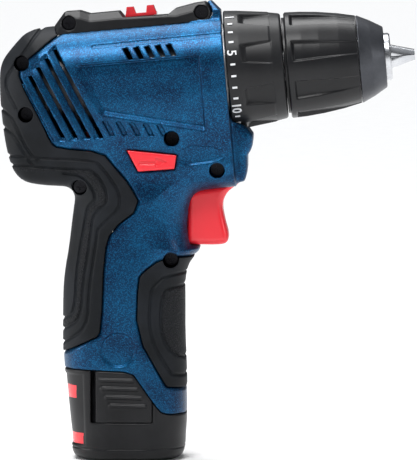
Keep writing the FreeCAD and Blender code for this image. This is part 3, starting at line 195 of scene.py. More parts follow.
@dataclass(frozen=True)
class Finish:
    """One material: its colours, gloss and fine relief.

    The surface drifts between colour and shade. Depth is in metres, and scale is in lumps per metre.
    """

    name: str
    colour: Triple
    shade: Triple
    roughness: float
    metallic: float = 0.0
    coat: float = 0.0
    coat_roughness: float = 0.1
    specular: float = 0.5
    grain: Grain = Grain.CAST
    depth: float = 0.00004
    scale: float = 2200.0
    cloud_scale: ClassVar[float] = 55.0
    brush_stretch: ClassVar[Triple] = (1.0, 14.0, 14.0)

    def build(self) -> bpy.types.Material:
        """Makes the material, once.

        Returns:
            The Blender material.
        """
        made = bpy.data.materials.get(self.name)
        if made:
            return made
        material = bpy.data.materials.new(self.name)
        material.use_nodes = True
        tree = material.node_tree
        shader = tree.nodes["Principled BSDF"]
        nodes = Nodes(tree)
        for socket, value in (("Specular IOR Level", self.specular), ("Coat Roughness", self.coat_roughness),
                              ("Coat Weight", self.coat), ("Metallic", self.metallic)):
            shader.inputs[socket].default_value = value
        cloud = nodes.noise(self.cloud_scale, 4.0, 0.6)
        fine = nodes.noise(self.scale, 2.0)
        tone = cloud.ramp(0.35, 0.7) * 0.7 + fine * 0.3
        gloss = self.roughness - 0.06 + cloud * 0.08 + fine * 0.06
        height = fine
        if self.grain is Grain.SPARK:
            flake = nodes.cells(self.scale, "Color")
            spark = nodes.add("ShaderNodeSeparateColor", {}, {0: flake}, 0)
            tone = cloud.ramp(0.3, 0.75) * 0.35 + spark.ramp(0.55, 1.0) * 0.75
            height = spark
        elif self.grain is Grain.KNURL:
            height = 1.0 - nodes.cells(self.scale).ramp(0.0, 0.6) + fine * 0.25
            # Knurl colour follows its height: painted shade in the hollows between the cells, lighter on the
            # tops.
            tone = height * 0.6 + cloud * 0.4
        elif self.grain is Grain.BRUSHED:
            stretched = nodes.add("ShaderNodeMapping", {},
                                  {"Vector": nodes.position(), "Scale": self.brush_stretch})
            height = nodes.add("ShaderNodeTexNoise", {}, {"Vector": stretched, "Scale": self.scale * 0.2})
            gloss = self.roughness - 0.08 + height * 0.18
        colour = nodes.mix(tone.clamp(), (*self.shade, 1.0), (*self.colour, 1.0))
        tree.links.new(colour.socket, shader.inputs["Base Color"])
        tree.links.new(gloss.clamp().socket, shader.inputs["Roughness"])
        if self.grain is not Grain.SMOOTH:
            tree.links.new(nodes.bump(height, self.depth).socket, shader.inputs["Normal"])
        return material


def brushed(name: str, colour: Triple, shade: Triple,
            roughness: float, depth: float = 0.00001) -> Finish:
    """A bare metal with fine brush lines.

    Args:
        name: the material's name.
        colour: its brighter colour.
        shade: its darker colour.
        roughness: its roughness.
        depth: depth of the lines, in metres.

    Returns:
        The finish.
    """
    return Finish(name, colour, shade, roughness, metallic=1.0, grain=Grain.BRUSHED, depth=depth)


BLUE = Finish("pearl_blue", (0.002, 0.13, 0.3), (0.0004, 0.009, 0.04), 0.38, metallic=0.8, coat=0.08,
              coat_roughness=0.2, grain=Grain.SPARK, depth=0.000012, scale=4200.0)
RUBBER = Finish("soft_rubber", (0.012, 0.014, 0.018), (0.004, 0.005, 0.006), 0.56, specular=0.15)
# Knurled rubber: its shade colour is painted shade in the knurl's hollows.
RUBBER_KNURL = Finish("knurled_rubber", (0.02, 0.022, 0.027), (0.003, 0.0035, 0.004), 0.6, specular=0.16,
                      grain=Grain.KNURL, depth=0.0005, scale=1150.0)
NYLON = Finish("black_nylon", (0.012, 0.0125, 0.014), (0.004, 0.004, 0.005), 0.4, specular=0.26,
               depth=0.00003)
COLLAR = Finish("collar_nylon", (0.012, 0.0125, 0.014), (0.005, 0.005, 0.006), 0.38, specular=0.28,
                depth=0.00002, scale=2600.0)
SLEEVE = Finish("sleeve_nylon", (0.011, 0.0115, 0.013), (0.005, 0.005, 0.006), 0.33, specular=0.28,
                depth=0.00002, scale=2600.0)
GUNMETAL = Finish("gunmetal", (0.07, 0.074, 0.084), (0.03, 0.032, 0.038), 0.36, metallic=0.7,
                  depth=0.00005, scale=1500.0)
RED = Finish("red_plastic", (0.56, 0.001, 0.005), (0.4, 0.0005, 0.003), 0.36, specular=0.14, depth=0.00001)
STEEL = brushed("bright_steel", (0.6, 0.61, 0.63), (0.36, 0.37, 0.39), 0.24, 0.000006)
DARK_STEEL = brushed("dark_steel", (0.16, 0.16, 0.17), (0.08, 0.08, 0.09), 0.38)
# Screw heads near black: painted shade standing in for the dark inside of their deep recesses.
SCREW_PAINTED_SHADE = brushed("screw_painted_shade", (0.03, 0.03, 0.034), (0.012, 0.012, 0.014), 0.34)
GEAR = brushed("gear_steel", (0.5, 0.49, 0.47), (0.3, 0.29, 0.28), 0.34)
COPPER = brushed("copper", (0.75, 0.3, 0.12), (0.4, 0.13, 0.05), 0.3, 0.00003)
BRASS = brushed("brass", (0.8, 0.58, 0.26), (0.55, 0.38, 0.15), 0.3)
ALLOY = Finish("cast_alloy", (0.62, 0.63, 0.65), (0.4, 0.41, 0.43), 0.45, metallic=1.0, depth=0.00006,
               scale=1200.0)
BOARD = Finish("board_green", (0.01, 0.14, 0.05), (0.005, 0.08, 0.03), 0.35, coat=0.3)
LENS = Finish("clear_lens", (0.85, 0.88, 0.92), (0.6, 0.64, 0.7), 0.12, coat=0.4, grain=Grain.SMOOTH)
WIRE_RED = Finish("wire_red", (0.4, 0.02, 0.02), (0.2, 0.01, 0.01), 0.45)
CELL = Finish("cell_wrap", (0.02, 0.28, 0.2), (0.01, 0.16, 0.11), 0.3, coat=0.3, depth=0.00001)
MARK = Finish("white_print", (0.75, 0.76, 0.78), (0.6, 0.61, 0.63), 0.5, depth=0.00001)
FLOOR = Finish("pale_floor", (0.86, 0.86, 0.86), (0.83, 0.83, 0.83), 0.7, depth=0.00001, scale=300.0)

CAD_FINISH: dict[str, Finish] = {
    "blue_plastic": BLUE, "soft_grip": RUBBER, "black_plastic": NYLON, "red_plastic": RED,
    "collar_plastic": COLLAR, "sleeve_plastic": SLEEVE, "nose_metal": GUNMETAL, "chuck_steel": STEEL,
    "gear_steel": GEAR, "alloy": ALLOY, "spring_steel": DARK_STEEL, "screw_steel": SCREW_PAINTED_SHADE,
    "motor_steel": DARK_STEEL, "copper": COPPER, "magnet": DARK_STEEL, "brass": BRASS, "board": BOARD,
    "lens": LENS, "wire": WIRE_RED, "cell_wrap": CELL, "battery_plastic": NYLON,
}


# -------------------- distance fields
def common(*fields: Array | float) -> Array:
    """Field of what lies inside every one of some solids."""
    return reduce(np.maximum, fields)


def joined(*fields: Array | float) -> Array:
    """Field of what lies inside at least one of some solids."""
    return reduce(np.minimum, fields)


def bevel(across: Array, up: Array) -> Array:
    """Field of a slanting edge, from the distances past it across and up."""
    return across * BEVEL_ACROSS + up * BEVEL_UP


def smooth_max(a: Array, b: Array, width: float) -> Array:
    """Larger of two fields, with a rounded inner corner of a width."""
    return np.maximum(a, b) + np.maximum(width - np.abs(a - b), 0.0) ** 2 / (4.0 * width)


def smooth_min(a: Array, b: Array, width: float) -> Array:
    """Smaller of two fields, with a fillet of a width."""
    return np.minimum(a, b) - np.maximum(width - np.abs(a - b), 0.0) ** 2 / (4.0 * width)


def ease(low: float, high: float, value: Array) -> Array:
    """0 at low and 1 at high, smooth between."""
    t = np.clip((value - low) / (high - low), 0.0, 1.0)
    return t * t * (3.0 - 2.0 * t)


def rounded(points: Sequence[Point], passes: int = 2, closed: bool = True) -> list[Point]:
    """Cuts the corners of an outline so that it runs smoothly.

    Args:
        points: the outline's corners.
        passes: how many times every corner is cut.
        closed: whether the last point joins the first.

    Returns:
        More points along a smooth outline.
    """
    line = [np.array(p, float) for p in points]
    for _ in range(passes):
        cut = [] if closed else [line[0]]
        for a, b in zip(line, line[1:] + (line[:1] if closed else [])):
            cut += [0.75 * a + 0.25 * b, 0.25 * a + 0.75 * b]
        line = cut if closed else cut + [line[-1]]
    return [(float(p[0]), float(p[1])) for p in line]


def line_distance(u: Array, w: Array, points: Sequence[Point]) -> Array:
    """Distance from an open line.

    Args:
        u: first coordinate of every point.
        w: second coordinate of every point.
        points: the line's corners.

    Returns:
        The distance field.
    """
    best = np.full(np.broadcast(u, w).shape, 1e9, np.float32)
    for (ax, ay), (bx, by) in zip(points, points[1:]):
        dx, dy = bx - ax, by - ay
        t = np.clip(((u - ax) * dx + (w - ay) * dy) / (dx * dx + dy * dy + 1e-9), 0.0, 1.0)
        best = np.minimum(best, (u - ax - t * dx) ** 2 + (w - ay - t * dy) ** 2)
    return np.sqrt(best)


def area_distance(u: Array, w: Array, points: Sequence[Point]) -> Array:
    """Signed distance from a closed outline, negative inside.

    Args:
        u: first coordinate of every point.
        w: second coordinate of every point.
        points: the outline's corners.

    Returns:
        The distance field.
    """
    loop = list(points) + [points[0]]
    inside = np.zeros(np.broadcast(u, w).shape, bool)
    for (ax, ay), (bx, by) in zip(loop, loop[1:]):
        if ay != by:
            inside ^= ((ay > w) != (by > w)) & (u < (bx - ax) * (w - ay) / (by - ay) + ax)
    return line_distance(u, w, loop) * np.where(inside, -1.0, 1.0)


def rounded_slab(area: Array, y: Array, half: Array | float, radius: Array | float) -> Array:
    """A side outline given thickness, with its edges rounded.

    Args:
        area: the outline's signed distance.
        y: distance across the tool.
        half: half the thickness.
        radius: rounding of the edges.

    Returns:
        The solid's field.
    """
    a = area + radius
    b = np.abs(y) - half + radius
    return np.hypot(np.maximum(a, 0.0), np.maximum(b, 0.0)) + np.minimum(np.maximum(a, b), 0.0) - radius


@dataclass(frozen=True)
class Head:
    """The head's frame, read from the spindle's joint."""

    x: float
    z: float
    cos: float
    sin: float

    @classmethod
    def read(cls, joints: list[dict]) -> "Head":
        """Takes the spindle's axis from the model's joints."""
        spin = next(j for j in joints if j["name"] == "spindle_spin")
        (x, _, z), (c, _, s) = spin["pos_m"], spin["axis"]
        return cls(x / MM, z / MM, c, s)

    def across(self, x: Array, z: Array) -> tuple[Array, Array]:
        """(s, v) of world points."""
        dx, dz = x - self.x, z - self.z
        return dx * self.cos + dz * self.sin, dz * self.cos - dx * self.sin

    def world(self, s: Array | float, v: Array | float) -> tuple[Array | float, Array | float]:
        """World (x, z) of head points."""
        return self.x + s * self.cos - v * self.sin, self.z + s * self.sin + v * self.cos


class Lattice:
    """Regular grid of points that a solid is carved on."""

    def __init__(self, head: Head, low: Triple, high: Triple,
                 step: float) -> None:
        """Lays out the grid.

        Args:
            head: the head's frame.
            low: lowest corner.
            high: highest corner.
            step: distance between points.
        """
        self.step = step
        self.low = low
        counts = [int(math.ceil((b - a) / step)) + 1 for a, b in zip(low, high)]
        axes = [np.float32(a) + np.arange(n, dtype=np.float32) * np.float32(step)
                for a, n in zip(low, counts)]
        self.x = axes[0][:, None, None]
        self.y = axes[1][None, :, None]
        self.z = axes[2][None, None, :]
        self.s, self.v = head.across(self.x, self.z)

    def mesh(self, name: str, values: Array, finish: Finish, side: int = 1) -> Piece:
        """Turns a field into an object.

        Args:
            name: the object's name.
            values: the field, negative inside.
            finish: its material.
            side: 1 as carved, or -1 mirrored to the other side of the tool.

        Returns:
            The object, in metres.
        """
        band = 3.0 * self.step
        grid = openvdb.FloatGrid(band)
        full = np.broadcast_to(values, (self.x.size, self.y.size, self.z.size))
        grid.copyFromArray(np.ascontiguousarray(np.clip(full, -band, band), dtype=np.float32))
        points, triangles, quads = grid.convertToPolygons(isovalue=0.0, adaptivity=0.0)
        corners = (np.asarray(points, float) * self.step + np.array(self.low)) * MM
        corners[:, 1] *= side
        faces = [tuple(int(i) for i in f) for f in list(quads) + list(triangles)]
        if side < 0:
            faces = [f[::-1] for f in faces]
        return make_object(name, corners, faces, finish)


def add_object(name: str, data: bpy.types.ID, away: Vector | None = None) -> Piece:
    """Adds an object to the scene.

    Args:
        name: the object's name.
        data: its mesh, light or camera.
        away: the direction that its back is turned to, if it is aimed.

    Returns:
        The object.
    """
    made = bpy.data.objects.new(name, data)
    bpy.context.scene.collection.objects.link(made)
    if away:
        made.rotation_euler = away.to_track_quat("Z", "Y").to_euler()
    return made


def make_object(name: str, corners: Array, faces: Sequence[Sequence[int]], finish: Finish,
                smooth: bool = True) -> Piece:
    """Makes a mesh object.

    Args:
        name: the object's name.
        corners: its vertices, in metres.
        faces: its faces.
        finish: its material.
        smooth: whether it is shaded smooth.

    Returns:
        The object.
    """
    mesh = bpy.data.meshes.new(name)
    mesh.from_pydata([tuple(map(float, c)) for c in corners], [], faces)
    mesh.materials.append(finish.build())
    mesh.polygons.foreach_set("use_smooth", [smooth] * len(mesh.polygons))
    mesh.update()
    return add_object(name, mesh)


def face_centres(piece: Piece) -> tuple[Array, Array, Array]:
    """Where the faces of a piece lie.

    Args:
        piece: the object.

    Returns:
        x, y and z of every face's centre, in millimetres.
    """
    centres = np.zeros(len(piece.data.polygons) * 3)
    piece.data.polygons.foreach_get("center", centres)
    return centres[0::3] / MM, centres[1::3] / MM, centres[2::3] / MM


def paint(piece: Piece, chosen: Array, finish: Finish) -> None:
    """Gives some faces of a piece a second finish.

    Args:
        piece: the object.
        chosen: true for every face that gets it.
        finish: the second finish.
    """
    piece.data.materials.append(finish.build())
    piece.data.polygons.foreach_set("material_index", chosen.astype(np.int32))


def place(piece: Piece, body: str, slot: str, *nodes: str) -> Piece:
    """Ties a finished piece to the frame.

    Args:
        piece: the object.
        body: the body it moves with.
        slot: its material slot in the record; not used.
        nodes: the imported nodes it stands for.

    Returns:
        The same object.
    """
    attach(piece, body)
    if nodes:
        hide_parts(*nodes)
    LOG.info("%s: %d faces", piece.name, len(piece.data.polygons))
    return piece


# -------------------- housing and soft grip
@dataclass
class Housing:
    """The two halves of the housing and the soft grip on them.

    Outlines are seen from the side: those of the head, chin, label and brow as (s, v), the others as (x, z).
    """

    head: Head
    step: float = 0.38
    wall: float = 2.6
    head_half: float = 24.4
    grip_half: float = 22.9
    grip_round: float = 17.0
    chin_half: float = 15.0
    screw_recess: float = 3.1
    screw_depth: float = 8.0
    groove: float = 0.75
    parting: float = 0.05
    clearance: float = 0.3
    label_sink: float = 1.7
    louvre_sink: float = 1.0
    panel_sink: float = 0.7
    crease_sink: float = 0.35
    disc_sink: float = 1.0
    vent_depth: float = 12.0
    blind_depth: float = 1.9
    mouth_radius: float = 19.5
    boss_radius: float = 3.8
    skin_proud: float = 0.25
    skin_depth: float = 1.4
    skin_gap: float = 0.08
    moat_depth: float = 0.7
    moat_width: float = 1.3
    head_line: Outline = (
        (34, 24.2), (-30, 23.8), (-66, 23.8), (-78.3, 23.2), (-84.5, 17.6), (-89.6, 12.0), (-91.2, 6.5),
        (-91.8, -4.0), (-91.7, -12.1), (-91.0, -21.9), (-89.2, -31.0), (-86.4, -35.6), (-82.0, -38.0),
        (-72.0, -39.9), (-45, -43.0), (-16.7, -46.3), (34, -46.3))
    grip_line: Outline = (
        (-20.6, 121), (-21.2, 108), (-22.4, 101), (-24.3, 85), (-25.6, 78), (-26.4, 71), (-26.7, 62),
        (-26.7, 45), (-26.3, 37.5), (-24.7, 19.6), (-23.2, 7), (-22.6, -30), (21.4, -30), (22.3, 7),
        (23.2, 17), (22.7, 37.5), (22.1, 50), (22.1, 65), (22.0, 72), (23.5, 78.4), (25.6, 81.6),
        (28.9, 85.2), (27.6, 86.6), (25.0, 88), (24.5, 98), (26.8, 109.4), (27, 121))
    chin_line: Outline = (
        (-30, -10), (-4, -10), (1.5, -17.5), (8.4, -25.6), (8.3, -28.5), (7.4, -32.0), (5.6, -34.2),
        (5.4, -36), (5.0, -40.5), (3.8, -44.2), (2.6, -44.9), (-16.7, -46.4), (-30, -46))
    seam_line: Outline = (
        (-60, 37.6), (-15.4, 36.7), (-1.5, 36.0), (2.0, 34.8), (11.4, 21.5), (13.2, 19.6), (16.2, 18.7),
        (60, 18.9), (60, -60), (-60, -60))
    blue_line: Outline = (
        (60, 200), (-20, 182), (-27.5, 171.9), (-31.0, 169.4), (-39.3, 162.4), (-43.6, 159.4),
        (-43.9, 153.6), (-34.8, 136.7), (-30.9, 127.9), (-27.9, 125.9), (-10.5, 124.5), (-5.7, 118.5),
        (0.0, 112.0), (5.3, 102.7), (-6.9, 93.4), (-9.7, 84.0), (-10.9, 53.0), (-13.0, 49.6), (-60, 29.0),
        (60, 0))
    front_line: Outline = (
        (50, 82), (20.2, 82.3), (13.0, 81.4), (6.1, 76.3), (4.1, 73.5), (3.4, 51.6), (13.8, 32.6),
        (16.2, 29.2), (50, 28.8))
    rear_grooves: tuple[Outline, ...] = (
        ((-52, 123.4), (-38.1, 122.1), (-14.2, 121.3), (-10.5, 118.9), (-0.8, 104.3), (-12.2, 94.2),
         (-12.4, 90.9), (-15.8, 69.1), (-16.2, 54.1), (-25.5, 48.0), (-40, 40)),
        ((-52, 119.8), (-38.5, 118.5), (-20.2, 117.6), (-13.0, 117.2), (-6.9, 105.1), (-14.2, 99.8),
         (-15.0, 90.5), (-18.2, 71.9), (-19.0, 57.7), (-25.5, 53.3), (-40, 45)),
        ((-26, 116.0), (-17.8, 115.2), (-12.2, 105.9), (-16.2, 102.7), (-17.0, 98.6), (-20.7, 78.4),
         (-21.5, 60.1), (-25.5, 57.7), (-40, 50)))
    side_grooves: tuple[Outline, ...] = (
        ((-60, 146), (-50.2, 141.1), (-46.6, 138.3), (-40.1, 124.5), (-36.0, 121.3)),
        ((-60, 138), (-50.2, 134.3), (-45.8, 131.4), (-41.3, 123.3), (-37.7, 118.5)),
        ((-30, 180), (-36.0, 173.5), (-42.5, 163.4), (-48.2, 156.1), (-49.4, 152.9), (-48.8, 148.8),
         (-44.6, 141.5)))
    front_grooves: tuple[Outline, ...] = (
        ((40, 76.6), (16.2, 75.8), (10.1, 70.7), (8.9, 67.8), (8.1, 51.6), (16.2, 36.2), (18.6, 34.4),
         (40, 34.2)),
        ((40, 71.4), (17.2, 70.5), (13.4, 67.4), (12.6, 51.6), (19.0, 40.9), (40, 40.4)))
    label_edge: Outline = (
        (-59.6, 40), (-59.6, 8.6), (-51.6, -10.6), (-50.2, -12.0), (-8.0, -22.4), (20, -23), (20, 40))
    brow_line: Outline = ((-12, 18), (-12, 26.4), (-7, 28.2), (-3.9, 28.9), (-0.4, 24.6), (-0.4, 18))
    brow_half: float = 13.4
    vent_pitch: float = 4.95
    vent_lean: float = 0.427
    lean_from: float = 4.6
    crease_line: Outline = ((-14.0, 166.9), (38.0, 172.0))
    panel_line: Outline = ((21.0, 127.6), (38.2, 126.6), (38.4, 121.4), (20.4, 118.9))
    lever_line: Outline = ((-0.4, 125.4), (19.4, 123.4), (18.6, 118.0), (4.1, 116.9))
    screws: Outline = (
        (-42.8, 160.0), (-41.1, 139.5), (17.4, 130.0), (35.6, 117.2), (-19.8, 110.2), (17.0, 81.0))
    disc: Triple = (-4.1, 45.2, 6.8)

    def __post_init__(self) -> None:
        """Lays out the lattice and the fields that every piece of the housing shares."""
        self.grid = Lattice(self.head, (-54.5, -25.6, 17.0), (51.5, 0.4, 188.0), self.step)
        self.body = self.outer()

    def outer(self) -> Array:
        """The whole outside of the housing.

        Returns:
            The field.
        """
        g = self.grid
        low = ease(-6.0, -36.0, g.v)
        roof = area_distance(g.s, g.v, rounded(self.head_line, 2))
        taper = ease(-66.0, -92.0, g.s)
        half = self.head_half - 3.2 * low - 1.5 * taper
        head = rounded_slab(roof, g.y, half, 21.5 - 11.5 * low - 5.0 * taper)
        brow = np.maximum(area_distance(g.s, g.v, self.brow_line), np.abs(g.y) - self.brow_half)
        head = smooth_min(head, smooth_max(brow, bevel(np.abs(g.y) - 9.6, g.v - 28.2), 0.6), 2.0)
        head = np.maximum(head, g.s + 0.4)
        grip = rounded_slab(area_distance(g.x, g.z, rounded(self.grip_line, 1)), g.y,
                            self.grip_half - 0.9 * ease(60.0, 105.0, g.z), self.grip_round)
        chin = rounded_slab(area_distance(g.s, g.v, rounded(self.chin_line, 1)), g.y, self.chin_half, 3.5)
        chin = smooth_max(chin, 24.9 - np.hypot(g.v, g.y), 0.8)
        return smooth_min(smooth_min(head, grip, 7.0), chin, 2.5)

    def relief(self) -> Array:
        """How far the sides are sunk, seen from the side.

        Returns:
            The height, positive where material is taken away.
        """
        g = self.grid
        label = ease(1.3, -1.3, area_distance(g.s, g.v, self.label_edge))
        sunk = self.label_sink * label * ease(8.0, 7.3, g.v) * ease(-10.0, -10.7, g.s)
        louvre = (g.s + 78.2 + self.vent_lean * (g.v - self.lean_from)) / self.vent_pitch
        rise = (louvre + 0.83) % 1.0
        zone = ease(-0.95, -0.85, louvre) * ease(3.3, 3.2, louvre)
        zone = zone * ease(7.3, 6.3, g.v - 3.0 * louvre) * ease(-22.3, -21.3, g.v)
        sunk = sunk + self.louvre_sink * zone * ease(0.0, 0.85, rise)
        panel = area_distance(g.x, g.z, rounded(self.panel_line, 1))
        sunk = sunk + self.panel_sink * ease(0.3, -0.5, panel)
        sunk = sunk + self.crease_sink * ease(0.9, 0.1, line_distance(g.x, g.z, self.crease_line))
        x, z, radius = self.disc
        return sunk + self.disc_sink * ease(0.4, -0.5, np.hypot(g.x - x, g.z - z) - radius)

    def rubber_relief(self) -> Array:
        """Grooves between the bands of the soft grip.

        Returns:
            The height taken away.
        """
        g = self.grid
        cut = np.zeros_like(g.x + g.z)
        for route in self.rear_grooves + self.side_grooves + self.front_grooves:
            near = line_distance(g.x, g.z, rounded(route, 2, False))
            cut = np.maximum(cut, self.groove * ease(0.85, 0.1, near))
        return cut

    def vents(self) -> Array:
        """Slots over the motor and above the gearbox.

        Returns:
            Their side field.
        """
        motor = [self.slot(-78.9 + self.vent_pitch * i, 5.2 + 3.2 * i, -20.4 - 0.5 * i, 1.5)
                 for i in range(4)]
        gearbox = [self.slot(-36.9 + 4.35 * i, 13.1, 8.3, 2.0) for i in range(5)]
        return joined(*motor, *gearbox)

    def slot(self, back: float, top: float, low: float, width: float) -> Array:
        """One leaning slot with level ends.

        Args:
            back: s of its rear edge, at the height that the lean is measured from.
            top: v of its upper end.
            low: v of its lower end.
            width: its width along the spindle.

        Returns:
            Its side field.
        """
        g = self.grid
        off = g.s - back - 0.5 * width + self.vent_lean * (g.v - self.lean_from)
        return common(np.abs(off) * 0.92 - 0.46 * width, g.v - top, low - g.v)

    def blind(self) -> Array:
        """Short grooves under the label that do not go through.

        Returns:
            Their side field.
        """
        return joined(*(self.slot(-59.6 + 5.0 * i, -15.2 - 0.8 * i, -21.4 - 0.45 * i, 2.0)
                        for i in range(5)))

    def openings(self, side: int) -> Array:
        """Everything that is cut out of the shell on one side.

        Args:
            side: 1 for the right, -1 for the left.

        Returns:
            The field of what is taken away, as a solid.
        """
        g = self.grid
        seam = area_distance(g.x, g.z, self.seam_line) - self.clearance
        mouth = common(np.hypot(g.v, g.y) - self.mouth_radius, -g.s - 6.0)
        roof = common(area_distance(g.s, g.v, Cover.base_line), np.abs(g.y) - Cover.half - 0.4)
        lever = area_distance(g.x, g.z, self.lever_line) - self.clearance
        window = common(np.abs(g.y) - 10.8, g.z - 110.9 - 0.17 * (g.x - 26.7), 86.2 - g.z, 12.0 - g.x)
        vents = common(self.vents(), g.y + self.vent_depth)
        blind = common(self.blind(), -(self.body + self.blind_depth))
        cut = joined(seam, mouth, roof, lever, window, vents, blind)
        if side > 0:
            for x, z in self.screws:
                hole = np.hypot(g.x - x, g.z - z) - self.screw_recess
                cut = joined(cut, common(hole, g.y + self.screw_depth))
        return cut

    def build(self) -> None:
        """Carves both halves and both soft grips."""
        g = self.grid
        rubber = joined(area_distance(g.x, g.z, rounded(self.front_line, 1)),
                        -area_distance(g.x, g.z, rounded(self.blue_line, 1)))
        relief, grooves = self.relief(), self.rubber_relief()
        moat = self.moat_depth * ease(self.moat_width, 0.0, np.abs(rubber))
        bosses = joined(*(np.hypot(g.x - x, g.z - z) - self.boss_radius for x, z in self.screws))
        shell = common(self.body, joined(-(self.body + self.wall), bosses))
        for side, name in SIDES:
            cut = self.openings(side)
            edge = common(shell, g.y + self.parting, -cut)
            blue = smooth_max(common(edge, self.body + relief + moat), -(rubber - self.skin_gap), 0.3)
            place(g.mesh(f"housing_shell_{name}", blue, BLUE, side), "root", "blue_plastic",
                  f"housing_{name}")
            skin = common(self.body - self.skin_proud + grooves, -(self.body + self.skin_depth),
                          g.y + self.parting, -cut)
            skin = smooth_max(skin, rubber + self.skin_gap, 0.5)
            self.texture(place(g.mesh(f"grip_skin_{name}", skin, RUBBER, side), "root", "soft_grip",
                               f"soft_grip_{name}"))

    def texture(self, grip: Piece) -> None:
        """Gives the bands between the grooves a fine knurl, with painted shade in its hollows.

        Args:
            grip: the soft grip of one side.
        """
        x, _, z = face_centres(grip)
        inner = area_distance(x, z, self.rear_grooves[2] + ((-80, 50), (-80, 116)))
        front = area_distance(x, z, self.front_grooves[1])
        band = area_distance(x, z, self.rear_grooves[1] + ((-80, 45), (-80, 119)))
        paint(grip, ((band < -0.6) & (inner > 0.6)) | (front < -0.6), RUBBER_KNURL)


@dataclass
class Cover:
    """The black cover along the roof, with its screws in two humps and a window for the selector."""

    head: Head
    step: float = 0.35
    half: float = 13.3
    inner_radius: float = 20.9
    window_half: float = 3.6
    screw_recess: float = 2.9
    screw_depth: float = 8.0
    base_line: ClassVar[Outline] = (
        (-66.6, 20.0), (-67.5, 24.4), (-62.7, 31.0), (-20.0, 31.0), (-18.4, 27.3), (-10.5, 28.7),
        (-5.9, 29.2), (-4.0, 26.6), (-3.4, 24.1), (-5.0, 21.1), (-11.1, 20.7))
    line: Outline = (
        (-66.4, 20.4), (-67.4, 24.3), (-62.9, 29.5), (-57.0, 29.4), (-53.1, 27.8), (-41.1, 27.9),
        (-39.3, 25.2), (-21.8, 24.7), (-18.4, 27.0), (-10.5, 28.4), (-6.2, 28.7), (-4.3, 26.6),
        (-3.7, 24.2), (-5.2, 21.4), (-11.1, 21.0))
    screws: Outline = ((-61.5, 24.8), (-8.0, 24.6))

    def build(self) -> None:
        """Carves the cover."""
        x0, z0 = self.head.world(-67.5, 19.0)
        grid = Lattice(self.head, (x0 - 2.5, -14.4, z0 - 1.0), (42.0, 14.4, 187.5), self.step)
        side = area_distance(grid.s, grid.v, self.line)
        top = np.interp(grid.s, *zip(*self.line[1:-2]))
        shoulder = np.interp(grid.s, (-41.1, -39.3, -21.8, -18.4), (9.6, 12.8, 12.8, 9.6))
        flank = (np.abs(grid.y) - self.half) * 0.995 + (grid.v - 22.0) * 0.08
        cover = smooth_max(common(side, flank), bevel(np.abs(grid.y) - shoulder, grid.v - top + 0.3), 0.5)
        gearbox = np.hypot(grid.v, grid.y) - self.inner_radius
        window = common(np.abs(grid.y) - self.window_half, np.abs(grid.s + 27.9) - self.window_half)
        cover = common(cover, -gearbox, -window)
        for s, v in self.screws:
            hole = np.hypot(grid.s - s, grid.v - v) - self.screw_recess
            cover = common(cover, -common(hole, grid.y + self.screw_depth))
        place(grid.mesh("roof_cover", cover, NYLON), "root", "black_plastic", "top_cover")


# -------------------- controls
@dataclass
class Controls:
    """Trigger and direction lever."""

    head: Head
    trigger_line: Outline = (
        (25.3, 86.8), (23.3, 87.0), (23.3, 89.0), (23.3, 105.6), (23.3, 107.6), (26.4, 109.3),
        (35.0, 110.4), (45.4, 112.3), (42.0, 109.9), (39.2, 107.6), (37.4, 102.8), (38.6, 96.0),
        (40.3, 90.2), (39.6, 87.4), (36.0, 86.6))
    arrow: Outline = (
        (4.2, 119.6), (4.6, 121.0), (11.0, 121.2), (11.0, 122.5), (15.6, 120.9), (11.0, 118.8),
        (11.0, 119.8))
    step: float = 0.3
    trigger_half: float = 10.4
    rod_radius: float = 2.4
    lever_half: float = 23.5
    arrow_floor: float = 22.9

    def build(self) -> None:
        """Carves both controls."""
        grid = Lattice(self.head, (12.0, -11.2, 84.5), (47.2, 11.2, 114.0), self.step)
        outline = area_distance(grid.x, grid.z, rounded(self.trigger_line, 2))
        scoop = 0.9 * ease(6.0, 0.0, np.abs(grid.y)) * ease(34.0, 39.0, grid.x)
        trigger = rounded_slab(outline + scoop, grid.y, self.trigger_half, 2.6)
        rod = common(np.hypot(grid.y, grid.z - 97.8) - self.rod_radius, 13.0 - grid.x, grid.x - 28.0)
        place(grid.mesh("trigger_blade", joined(trigger, rod), RED), "trigger", "red_plastic", "trigger")
        grid = Lattice(self.head, (-2.0, -24.6, 115.0), (21.0, 24.6, 127.5), self.step)
        outline = area_distance(grid.x, grid.z, Housing.lever_line)
        arrow = area_distance(grid.x, grid.z, self.arrow)
        lever = common(rounded_slab(outline, grid.y, self.lever_half, 0.5),
                       -common(arrow, self.arrow_floor - np.abs(grid.y)))
        place(grid.mesh("lever_bar", lever, RED), "lever", "red_plastic", "direction_lever")


